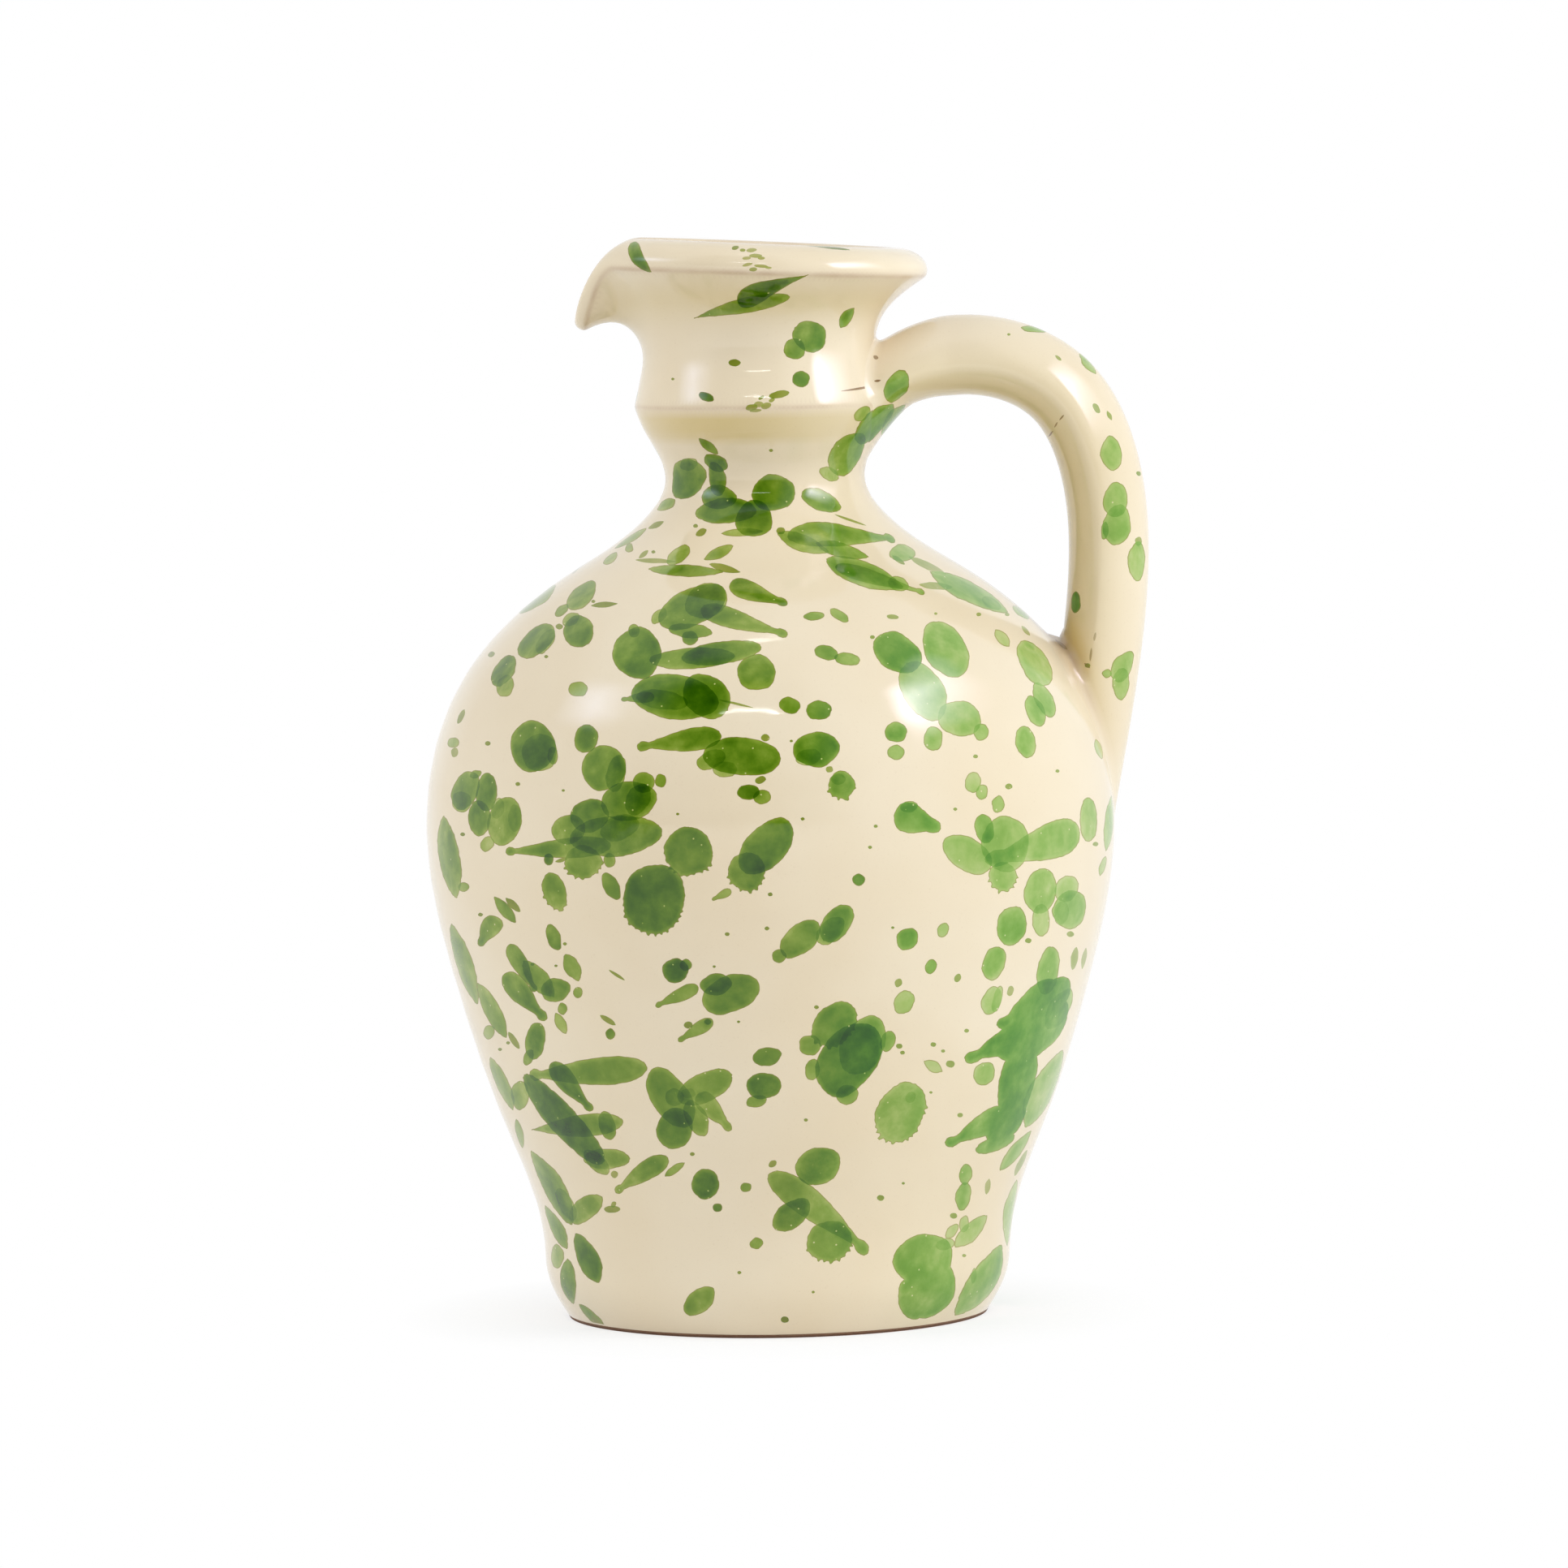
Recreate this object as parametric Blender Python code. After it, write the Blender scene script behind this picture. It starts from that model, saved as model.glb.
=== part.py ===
"""Hand-thrown ceramic oil bottle: a thrown body, neck and spouted mouth luted with slip, a pulled handle.

Metres, +Z up. The origin is the middle of the foot's flat underside. The spout points to -X and the
handle to +X.
"""

import math

import bmesh
import bpy
import numpy as np
from mathutils import Vector

MM = 0.001

# Outer wall of the thrown form, from the foot up: radius, and rise above the station before it. From the
# lower belly to the shoulder the stations keep their insets from the belly's radius, so they follow it.
BELLY_RADIUS = 67.0 * MM
FOOT_EDGE = (40.8 * MM, 0.0 * MM)
FOOT_ROLL = (45.0 * MM, 8.5 * MM)
FOOT_WAIST = (45.6 * MM, 6.0 * MM)
LOWER_BELLY = (BELLY_RADIUS - 13.8 * MM, 24.0 * MM)
MIDDLE_BELLY = (BELLY_RADIUS - 5.4 * MM, 26.0 * MM)
BELLY = (BELLY_RADIUS, 31.5 * MM)
UPPER_BELLY = (BELLY_RADIUS - 7.6 * MM, 29.0 * MM)
SHOULDER = (BELLY_RADIUS - 27.8 * MM, 19.5 * MM)
COLLAR = (24.6 * MM, 10.0 * MM)
NECK_WAIST = (19.3 * MM, 8.5 * MM)
UNDER_RIDGE = (23.3 * MM, 9.6 * MM)
RIDGE = (25.2 * MM, 4.6 * MM)
OVER_RIDGE = (23.6 * MM, 4.8 * MM)
THROAT = (21.9 * MM, 7.2 * MM)
FLARE = (24.5 * MM, 7.0 * MM)
LIP_EDGE = (32.0 * MM, 6.8 * MM)

# The rolled lip is half an oval over that edge: wide on its outer side, narrow on its inner side.
LIP_OUTER = 6.2 * MM
LIP_INNER = 2.6 * MM
LIP_CROWN = 4.5 * MM
LIP_START = math.radians(-15)
LIP_END = math.radians(150)

WALL = 4.8 * MM
FLOOR = 6.5 * MM
FLOOR_CORNER = 7.0 * MM

# Luted seams between the thrown sections: each is a butt joint with a ring of slip in it.
SEAM_GAP = 0.3 * MM
SLIP = 1.0 * MM

# The spout: the wall is pulled out over a wide sector, and its lip thinned and bent down over a narrow one.
SPOUT_PULL_ANGLE = math.radians(62)
SPOUT_BEND_ANGLE = math.radians(32)
SPOUT_PULL_SHARPNESS = 1.5
SPOUT_BEND_SHARPNESS = 2.0
SPOUT_PULL = 2.4 * MM
SPOUT_DROOP = 12.4 * MM
SPOUT_LIP_THINNING = 0.6
SPOUT_LIP_START = math.radians(-80)
RIM_TILT = math.radians(2.6)

# Where each of these sets in on the way up the mouth: a share of its rise, or the power of that share.
PULL_FULL_RISE = 0.75
TILT_START_RISE = 0.5
DROOP_POWER = 4
THINNING_POWER = 2

# The pulled strap handle, along its centre line. Its two side edges stand out, nearer to its inner face.
STRAP_THICKNESS = 15.6 * MM
STRAP_ROOT_THICKNESS = 13.2 * MM
STRAP_INNER_DEPTH = 6.2 * MM
STRAP_EDGE = 0.7 * MM
STRAP_EDGE_POWER = 8
STRAP_WIDTH = 21.0 * MM
STRAP_ROOT_WIDTH = 25.0 * MM
STRAP_TAIL_WIDTH = 18.0 * MM
ROOT_ABOVE_RIDGE = 4.4 * MM
ROOT_PITCH = math.radians(48)
ROOT_DEPTH = 15.0 * MM
CROWN_REACH = 12.0 * MM
CROWN_RISE = 4.5 * MM
BEND_INSET = 8.8 * MM
BEND_DROP = 6.9 * MM
BACK_INSET = 1.4 * MM
BACK_DROP = 21.9 * MM
LANDING_ABOVE_BELLY = 28.0 * MM
LANDING_STANDOFF = 4.2 * MM
STRAP_BOW = 2.3 * MM
TAIL_ABOVE_BELLY = 1.0 * MM
TAIL_DEPTH = 14.0 * MM

# Luting clay worked into the corners round the two ends of the strap: how far it climbs the strap and how far
# it reaches along the wall, on the strap's outer face and on its inner one.
LUTING_EDGE = 0.8 * MM
LUTING_BURIED = 1.2 * MM
UPPER_CLIMB = (2.2 * MM, 3.2 * MM)
UPPER_REACH = (2.2 * MM, 6.0 * MM)
LOWER_CLIMB = (1.2 * MM, 2.6 * MM)
LOWER_REACH = (1.2 * MM, 7.0 * MM)

# How finely the curves are cut into facets, and how finely they are measured.
TURN_STEPS = 54
PROFILE_STEP = 8.0 * MM
FINE_STEP = 3.2 * MM
LIP_STEPS = 8
LIP_COVERED = 2
CORNER_STEPS = 4
STRAP_SIDES = 26
STRAP_STEP = 5.0 * MM
LUTING_STEPS = 5
SAMPLE = 0.5 * MM
HALVINGS = 40
MERGE = 0.001 * MM
SHARP_ANGLE = math.radians(40)

CREAM_GLAZE = ((0.80, 0.67, 0.47), 0.12)
BARE_SLIP = ((0.66, 0.50, 0.34), 0.7)


def clear_scene():
    for old in list(bpy.data.objects):
        bpy.data.objects.remove(old)


def make_material(name, finish):
    colour, roughness = finish
    material = bpy.data.materials.new(name)
    material.use_nodes = True
    shader = material.node_tree.nodes["Principled BSDF"]
    shader.inputs["Base Color"].default_value = (*colour, 1.0)
    shader.inputs["Roughness"].default_value = roughness
    shader.inputs["Metallic"].default_value = 0.0
    return material


def add_object(name, bm, material):
    """Turns a bmesh into a named, smooth-shaded object."""
    bmesh.ops.recalc_face_normals(bm, faces=bm.faces)
    mesh = bpy.data.meshes.new(name)
    bm.to_mesh(mesh)
    bm.free()
    mesh.shade_smooth()
    mesh.set_sharp_from_angle(angle=SHARP_ANGLE)
    mesh.materials.append(material)
    made = bpy.data.objects.new(name, mesh)
    bpy.context.scene.collection.objects.link(made)
    return made


class SmoothCurve:
    """A natural cubic spline through points in a plane, by chord length."""

    def __init__(self, points):
        self.points = np.array(points, float)
        chords = np.linalg.norm(np.diff(self.points, axis=0), axis=1)
        self.knots = np.concatenate([[0.0], np.cumsum(chords)])
        self.length = self.knots[-1]
        count = len(self.points)
        system = np.eye(count)
        pull = np.zeros((count, 2))
        slopes = np.diff(self.points, axis=0) / chords[:, None]
        for i in range(1, count - 1):
            system[i, i - 1 : i + 2] = chords[i - 1], 2 * (chords[i - 1] + chords[i]), chords[i]
            pull[i] = 6 * (slopes[i] - slopes[i - 1])
        self.bends = np.linalg.solve(system, pull)

    def at(self, place):
        i = int(np.clip(np.searchsorted(self.knots, place) - 1, 0, len(self.knots) - 2))
        span = self.knots[i + 1] - self.knots[i]
        b = (place - self.knots[i]) / span
        a = 1 - b
        eased = (a**3 - a) * self.bends[i] + (b**3 - b) * self.bends[i + 1]
        return a * self.points[i] + b * self.points[i + 1] + eased * span**2 / 6

    def between(self, first, last, step):
        """Evenly spaced points from one knot to another, about a step apart."""
        start, end = self.knots[first], self.knots[last]
        count = max(2, round((end - start) / step) + 1)
        return [self.at(place) for place in np.linspace(start, end, count)]


def stacked(stations):
    """Station radii and rises as points of radius and height."""
    heights = np.cumsum([rise for _, rise in stations])
    return [(radius, height) for (radius, _), height in zip(stations, heights)]


FOOT_STATIONS = (FOOT_EDGE, FOOT_ROLL, FOOT_WAIST)
BELLY_STATIONS = (LOWER_BELLY, MIDDLE_BELLY, BELLY, UPPER_BELLY, SHOULDER, COLLAR, NECK_WAIST)
NECK_STATIONS = (UNDER_RIDGE, RIDGE)
MOUTH_STATIONS = (OVER_RIDGE, THROAT, FLARE, LIP_EDGE)
WALL_STATIONS = FOOT_STATIONS + BELLY_STATIONS + NECK_STATIONS + MOUTH_STATIONS
WALL_POINTS = stacked(WALL_STATIONS)

WAIST_KNOT = WALL_STATIONS.index(NECK_WAIST)
RIDGE_KNOT = WALL_STATIONS.index(RIDGE)
BELLY_HEIGHT = WALL_POINTS[WALL_STATIONS.index(BELLY)][1]
WAIST_HEIGHT = WALL_POINTS[WAIST_KNOT][1]
RIDGE_HEIGHT = WALL_POINTS[RIDGE_KNOT][1]
LIP_HEIGHT = WALL_POINTS[-1][1]

# The wall breaks at the ridge, so the curves below and above it only share their end point there.
LOWER_WALL = SmoothCurve(WALL_POINTS[: RIDGE_KNOT + 1])
UPPER_WALL = SmoothCurve(WALL_POINTS[RIDGE_KNOT:])


def whole_wall(step):
    """Points of the outer wall from the foot to the underside of the lip."""
    lower = LOWER_WALL.between(0, RIDGE_KNOT, step)
    upper = UPPER_WALL.between(0, len(MOUTH_STATIONS), step)
    return np.array(lower + upper[1:])


FINE_WALL = whole_wall(SAMPLE)


def wall_radius(height):
    """Outer radius of the thrown wall at a height."""
    return float(np.interp(height, FINE_WALL[:, 1], FINE_WALL[:, 0]))


def wall_normal(height):
    """Radial and upward parts of the wall's outward normal at a height."""
    slope = (wall_radius(height + SAMPLE) - wall_radius(height - SAMPLE)) / (2 * SAMPLE)
    normal = np.array([1.0, -slope])
    return normal / np.linalg.norm(normal)


def inside_of(outer, thickness):
    """The points of an outer wall moved in by a thickness, one for all or one for each, square to it."""
    outer = np.array(outer)
    along = np.gradient(outer, axis=0)
    normals = np.stack([-along[:, 1], along[:, 0]], axis=1)
    normals /= np.linalg.norm(normals, axis=1)[:, None]
    moved = outer + normals * np.reshape(thickness, (-1, 1))
    return [tuple(point) for point in moved]


def cut_level(outline, height):
    """Moves a wall's end point on to a level seam, along the wall."""
    (r0, z0), (r1, z1) = outline[-2], outline[-1]
    share = (height - z0) / (z1 - z0)
    outline[-1] = (r0 + (r1 - r0) * share, height)


def cut_low(outline, height):
    """The same for a wall's first point."""
    outline.reverse()
    cut_level(outline, height)
    outline.reverse()


def bridge(bm, rings, closed):
    """Joins rings of vertices with quads, and caps the ends unless the rings close on themselves."""
    pairs = list(zip(rings, rings[1:] + rings[:1])) if closed else list(zip(rings, rings[1:]))
    for ring, after in pairs:
        for i in range(len(ring)):
            j = (i + 1) % len(ring)
            bm.faces.new((ring[i], ring[j], after[j], after[i]))
    if not closed:
        bm.faces.new(rings[0])
        bm.faces.new(rings[-1])


def turn(name, outline, closed, material):
    """Turns an outline of radii and heights round the Z axis."""
    bm = bmesh.new()
    verts = [bm.verts.new((radius, 0.0, height)) for radius, height in outline]
    ends = verts[1:] + verts[:1] if closed else verts[1:]
    edges = [bm.edges.new(pair) for pair in zip(verts, ends)]
    bmesh.ops.spin(bm, geom=verts + edges, axis=(0, 0, 1), cent=(0, 0, 0), angle=math.tau, steps=TURN_STEPS)
    bmesh.ops.remove_doubles(bm, verts=bm.verts, dist=MERGE)
    return add_object(name, bm, material)


def wall_section(points, low, high):
    """Outer and inner outlines of one thrown section, both running up and ending on level seams."""
    outer = [tuple(point) for point in points]
    inner = inside_of(outer, WALL)
    for side in (outer, inner):
        cut_level(side, high)
        if low is not None:
            cut_low(side, low)
    return outer, inner


def make_body(material):
    """The thrown body: foot, floor, belly and shoulder, up to the seam at the neck's waist."""
    foot = WALL_STATIONS.index(FOOT_WAIST)
    collar = WALL_STATIONS.index(COLLAR)
    top = WAIST_HEIGHT - SLIP / 2 - SEAM_GAP
    foot_outer = [tuple(point) for point in LOWER_WALL.between(0, foot, FINE_STEP)]
    belly = LOWER_WALL.between(foot, collar, PROFILE_STEP)
    outer, inner = wall_section(belly + LOWER_WALL.between(collar, WAIST_KNOT, FINE_STEP)[1:], None, top)
    lift = FLOOR + FLOOR_CORNER
    inner = [point for point in inner if point[1] > lift]
    corner_radius = inner[0][0] - FLOOR_CORNER
    corner = [
        (corner_radius + FLOOR_CORNER * math.sin(turned), lift - FLOOR_CORNER * math.cos(turned))
        for turned in np.linspace(0, math.pi / 2, CORNER_STEPS)
    ]
    outline = [(0.0, 0.0)] + foot_outer + outer[1:] + inner[::-1] + corner[::-1] + [(0.0, FLOOR)]
    return turn("body", outline, False, material)


def make_slip_ring(name, height, material):
    """The ring of slip in a seam, flush with both sides of the wall."""
    levels = [height - SLIP / 2, height, height + SLIP / 2]
    outer = [(wall_radius(level), level) for level in levels]
    inner_radius = wall_radius(height) - WALL
    outline = outer + [(inner_radius, levels[-1]), (inner_radius, levels[0])]
    return turn(name, outline, True, material)


def make_neck(material):
    """The thrown neck, from its waist out to the ridge."""
    low = WAIST_HEIGHT + SLIP / 2 + SEAM_GAP
    high = RIDGE_HEIGHT - SLIP / 2 - SEAM_GAP
    outer, inner = wall_section(LOWER_WALL.between(WAIST_KNOT, RIDGE_KNOT, FINE_STEP), low, high)
    return turn("neck", outer + inner[::-1], True, material)


def ease(share):
    share = min(1.0, max(0.0, share))
    return share * share * (3 - 2 * share)


def bell(off_centre, half_angle, sharpness):
    """Falls smoothly from one at the spout's middle to nothing at the edge of its sector."""
    return math.cos(math.pi / 2 * min(1.0, off_centre / half_angle)) ** sharpness


def lip_arc(edge, thinning, start):
    """The rolled lip, from its outer edge over its crown to its inner side."""
    outer, inner, crown = np.array((LIP_OUTER, LIP_INNER, LIP_CROWN)) * (1 - thinning)
    middle = (edge[0] - outer * math.cos(start), edge[1] - crown * math.sin(start))
    arc = []
    for turned in np.linspace(start, LIP_END, LIP_STEPS):
        reach = outer if turned < math.pi / 2 else inner
        arc.append((middle[0] + reach * math.cos(turned), middle[1] + crown * math.sin(turned)))
    return arc


def mouth_outline(heading):
    """Closed outline of the mouth's wall at one heading: pulled out and bent down towards the spout."""
    off_spout = math.pi - abs(heading)
    pulled = bell(off_spout, SPOUT_PULL_ANGLE, SPOUT_PULL_SHARPNESS)
    bent = bell(off_spout, SPOUT_BEND_ANGLE, SPOUT_BEND_SHARPNESS)
    thinning = SPOUT_LIP_THINNING * bent
    outer = []
    thickness = []
    for radius, height in UPPER_WALL.between(0, len(MOUTH_STATIONS), FINE_STEP):
        rise = (height - RIDGE_HEIGHT) / (LIP_HEIGHT - RIDGE_HEIGHT)
        tilted = ease((rise - TILT_START_RISE) / (1 - TILT_START_RISE))
        height -= math.tan(RIM_TILT) * radius * math.cos(heading) * tilted
        height -= SPOUT_DROOP * bent * rise**DROOP_POWER
        outer.append((radius + SPOUT_PULL * pulled * ease(rise / PULL_FULL_RISE), height))
        thickness.append(WALL * (1 - thinning * rise**THINNING_POWER))
    inner = inside_of(outer, thickness)
    seam = RIDGE_HEIGHT + SLIP / 2 + SEAM_GAP
    cut_low(outer, seam)
    cut_low(inner, seam)
    lip = lip_arc(outer[-1], thinning, LIP_START + (SPOUT_LIP_START - LIP_START) * bent)
    return outer[:-1] + lip + inner[-1 - LIP_COVERED :: -1]


def make_mouth(material):
    """The thrown mouth above the ridge: throat, flare and rolled lip, with the spout pulled in it."""
    bm = bmesh.new()
    rings = []
    for step in range(TURN_STEPS):
        heading = math.tau * step / TURN_STEPS - math.pi
        ring = []
        for radius, height in mouth_outline(heading):
            ring.append(bm.verts.new((radius * math.cos(heading), radius * math.sin(heading), height)))
        rings.append(ring)
    bridge(bm, rings, True)
    return add_object("mouth", bm, material)


def strap_path():
    """Centre line of the strap in the XZ plane, buried in the wall at both ends."""
    root_height = RIDGE_HEIGHT + ROOT_ABOVE_RIDGE
    root = np.array((wall_radius(root_height), root_height))
    start = root - ROOT_DEPTH * np.array((math.cos(ROOT_PITCH), math.sin(ROOT_PITCH)))
    crown = root + (CROWN_REACH, CROWN_RISE)
    landing_height = BELLY_HEIGHT + LANDING_ABOVE_BELLY
    landing = np.array((wall_radius(landing_height) + LANDING_STANDOFF, landing_height))
    reach = landing[0] + STRAP_BOW
    bend = (reach - BEND_INSET, crown[1] - BEND_DROP)
    back = (reach - BACK_INSET, crown[1] - BACK_DROP)
    middle = (reach, (back[1] + landing_height) / 2)
    tail_height = BELLY_HEIGHT + TAIL_ABOVE_BELLY
    tail = np.array((wall_radius(tail_height) - STRAP_THICKNESS / 2, tail_height))
    end = tail + TAIL_DEPTH * (tail - landing) / np.linalg.norm(tail - landing)
    return SmoothCurve([start, root, crown, bend, back, middle, landing, tail, end])


STRAP = strap_path()
STRAP_ROOT, STRAP_CROWN, STRAP_BACK, STRAP_LANDING, STRAP_TAIL = STRAP.knots[[1, 2, 5, 6, 7]]


def strap_width(place):
    """Width of the strap along its length: widest at the root, narrowest at the tail."""
    stops = [STRAP_ROOT, STRAP_CROWN, STRAP_LANDING, STRAP_TAIL]
    return float(np.interp(place, stops, [STRAP_ROOT_WIDTH, STRAP_WIDTH, STRAP_WIDTH, STRAP_TAIL_WIDTH]))


def strap_thickness(place):
    """Thickness of the strap along its length: thinnest at the root."""
    return float(np.interp(place, [STRAP_ROOT, STRAP_CROWN], [STRAP_ROOT_THICKNESS, STRAP_THICKNESS]))


def strap_frame(place):
    """Centre of the strap and the direction to its outer side."""
    x, z = STRAP.at(place)
    along = STRAP.at(place + SAMPLE) - STRAP.at(place - SAMPLE)
    along /= np.linalg.norm(along)
    return Vector((x, 0.0, z)), Vector((-along[1], 0.0, along[0]))


def strap_point(place, turned, grow=0.0):
    """A point on the strap's side, and the side's outward direction there."""
    centre, outer = strap_frame(place)
    half_width, thickness = strap_width(place) / 2, strap_thickness(place)
    edge_lift = STRAP_INNER_DEPTH - thickness / 2
    depth = thickness - STRAP_INNER_DEPTH if math.sin(turned) > 0 else STRAP_INNER_DEPTH
    reach = half_width + STRAP_EDGE * abs(math.cos(turned)) ** STRAP_EDGE_POWER
    across = Vector((0.0, 1.0, 0.0))
    side = across * (reach * math.cos(turned)) + outer * (edge_lift + depth * math.sin(turned))
    away = across * (math.cos(turned) / half_width) + outer * (math.sin(turned) / depth)
    away.normalize()
    return centre + side + away * grow, away


STRAP_TURNS = [math.tau * i / STRAP_SIDES for i in range(STRAP_SIDES)]


def hide_as_cutter(cutter):
    cutter.hide_render = True
    cutter.display_type = "WIRE"
    return cutter


def make_wall_cutter(material):
    """The thrown form as one solid, larger by the seam's gap, for trimming what is luted to it."""
    grown = [point + SEAM_GAP * wall_normal(point[1]) for point in whole_wall(FINE_STEP)]
    outline = [(0.0, grown[0][1])] + [tuple(point) for point in grown] + [(0.0, grown[-1][1])]
    return hide_as_cutter(turn("wall_cutter", outline, False, material))


def make_strap(name, grow, material):
    """The pulled strap as one sweep from end to end."""
    bm = bmesh.new()
    count = round(STRAP.length / STRAP_STEP) + 1
    rings = []
    for place in np.linspace(0, STRAP.length, count):
        rings.append([bm.verts.new(strap_point(place, turned, grow)[0]) for turned in STRAP_TURNS])
    bridge(bm, rings, False)
    return add_object(name, bm, material)


def trim(made, cutter):
    """Cuts one solid away from another, and keeps the cut live as a modifier."""
    cut = made.modifiers.new("trim_by_" + cutter.name, "BOOLEAN")
    cut.operation = "DIFFERENCE"
    cut.solver = "EXACT"
    cut.object = cutter


def wall_clearance(point):
    """How far a point lies outside the thrown wall, square to the axis."""
    return math.hypot(point.x, point.y) - wall_radius(point.z)


def on_wall(point, lift):
    """The point of the wall at this height and heading, lifted off it."""
    radial, upward = wall_normal(point.z)
    heading = Vector((point.x, point.y, 0.0)).normalized()
    normal = heading * radial + Vector((0.0, 0.0, upward))
    return heading * wall_radius(point.z) + Vector((0.0, 0.0, point.z)) + normal * lift, normal


def place_at_clearance(turned, buried, free, clearance):
    """Where along the strap a line on its side stands off the wall by this much."""
    for _ in range(HALVINGS):
        middle = (buried + free) / 2
        if wall_clearance(strap_point(middle, turned)[0]) < clearance:
            buried = middle
        else:
            free = middle
    return (buried + free) / 2


def luting_section(turned, buried, free, climb, reach):
    """One cross-section of a luting fillet before trimming: a hollow face, closed behind wall and strap."""
    foot_place = place_at_clearance(turned, buried, free, 2 * SEAM_GAP)
    top_place = place_at_clearance(turned, buried, free, climb)
    corner, away = strap_point(foot_place, turned, SEAM_GAP)
    _, normal = on_wall(corner, 0.0)
    outward = (away - normal * away.dot(normal)).normalized()
    foot, foot_normal = on_wall(corner + outward * reach, 0.0)
    top, top_away = strap_point(top_place, turned)
    foot_edge = foot + foot_normal * LUTING_EDGE
    top_edge = top + top_away * LUTING_EDGE
    hollow = corner + (away + normal).normalized() * (2 * LUTING_EDGE)
    shares = np.linspace(0, 1, LUTING_STEPS)
    face = [foot_edge * (1 - s) ** 2 + hollow * (2 * s * (1 - s)) + top_edge * s**2 for s in shares]
    behind_wall = foot - foot_normal * LUTING_BURIED
    behind_strap = top - top_away * LUTING_BURIED
    behind_corner = corner - (away + normal).normalized() * LUTING_BURIED
    return face + [behind_strap, behind_corner, behind_wall]


def make_luting(name, buried, free, sizes, cutters, material):
    """A fillet of clay all round one end of the strap, with sizes that differ on the strap's two faces."""
    bm = bmesh.new()
    rings = []
    for turned in STRAP_TURNS:
        share = ease((1 + math.sin(turned)) / 2)
        climb, reach = [inner + (outer - inner) * share for outer, inner in sizes]
        rings.append([bm.verts.new(point) for point in luting_section(turned, buried, free, climb, reach)])
    bridge(bm, rings, True)
    luting = add_object(name, bm, material)
    for cutter in cutters:
        trim(luting, cutter)


def main():
    clear_scene()
    glaze = make_material("cream_glaze", CREAM_GLAZE)
    slip = make_material("luting_slip", BARE_SLIP)
    make_body(glaze)
    make_slip_ring("neck_slip", WAIST_HEIGHT, slip)
    make_neck(glaze)
    make_slip_ring("mouth_slip", RIDGE_HEIGHT, slip)
    make_mouth(glaze)
    wall_cutter = make_wall_cutter(glaze)
    strap_cutter = hide_as_cutter(make_strap("strap_cutter", SEAM_GAP, glaze))
    trim(make_strap("handle", 0.0, glaze), wall_cutter)
    cutters = (strap_cutter, wall_cutter)
    make_luting("upper_luting", 0.0, STRAP_CROWN, (UPPER_CLIMB, UPPER_REACH), cutters, glaze)
    make_luting("lower_luting", STRAP.length, STRAP_BACK, (LOWER_CLIMB, LOWER_REACH), cutters, glaze)


main()
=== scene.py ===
"""Looks of the hand-thrown oil bottle: glazed skins for its thrown wall and its handle, and a bare foot.

Metres, +Z up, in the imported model's frame. A bearing is an angle round the bottle's axis: nought faces the
camera, a quarter turn to the right is the handle and a quarter turn to the left is the spout. The splashes of
green glaze are cut into the skins as outlines, so their edges are as crisp as on the real glaze.
"""

import math
import random

import bpy
import numpy as np
from mathutils import Matrix, Vector
from mathutils.geometry import delaunay_2d_cdt
from mathutils.kdtree import KDTree


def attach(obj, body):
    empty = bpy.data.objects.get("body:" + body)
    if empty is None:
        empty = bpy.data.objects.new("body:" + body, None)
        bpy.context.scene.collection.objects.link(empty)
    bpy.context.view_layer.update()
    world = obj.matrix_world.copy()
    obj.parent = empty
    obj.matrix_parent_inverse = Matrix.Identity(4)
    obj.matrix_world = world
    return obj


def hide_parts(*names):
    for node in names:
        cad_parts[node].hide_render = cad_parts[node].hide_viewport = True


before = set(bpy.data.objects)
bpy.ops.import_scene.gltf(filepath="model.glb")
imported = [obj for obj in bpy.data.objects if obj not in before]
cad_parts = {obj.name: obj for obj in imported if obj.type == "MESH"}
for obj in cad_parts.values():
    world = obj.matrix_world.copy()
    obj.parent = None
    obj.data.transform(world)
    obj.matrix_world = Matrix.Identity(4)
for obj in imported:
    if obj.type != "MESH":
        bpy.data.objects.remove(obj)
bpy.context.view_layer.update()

MM = 0.001

# Outer wall of the thrown form, from the foot up: radius, and rise above the station before it, in
# millimetres.
LOWER_STATIONS = (
    (40.8, 0.0),  # foot edge
    (45.0, 8.5),  # foot roll
    (45.6, 6.0),  # foot waist
    (53.2, 24.0),
    (61.6, 26.0),
    (67.0, 31.5),  # belly
    (59.4, 29.0),
    (39.2, 19.5),  # shoulder
    (24.6, 10.0),
    (19.3, 8.5),  # neck waist
    (23.3, 9.6),
    (25.2, 4.6),  # ridge
)
UPPER_STATIONS = (
    (25.2, 177.2),  # ridge
    (23.6, 4.8),
    (21.9, 7.2),  # throat
    (24.5, 7.0),
    (32.0, 6.8),  # edge of the lip
)
WALL = 4.8 * MM
FLOOR = 6.5 * MM
FLOOR_CORNER = 7.0 * MM
BELLY_HEIGHT = 96.0 * MM
RIDGE_HEIGHT = 177.2 * MM
LIP_HEIGHT = 203.0 * MM

# The rolled lip is half an oval over the wall's edge.
LIP_OUTER = 6.2 * MM
LIP_INNER = 2.6 * MM
LIP_CROWN = 4.5 * MM
LIP_START = math.radians(-15)
LIP_END = math.radians(150)

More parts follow.
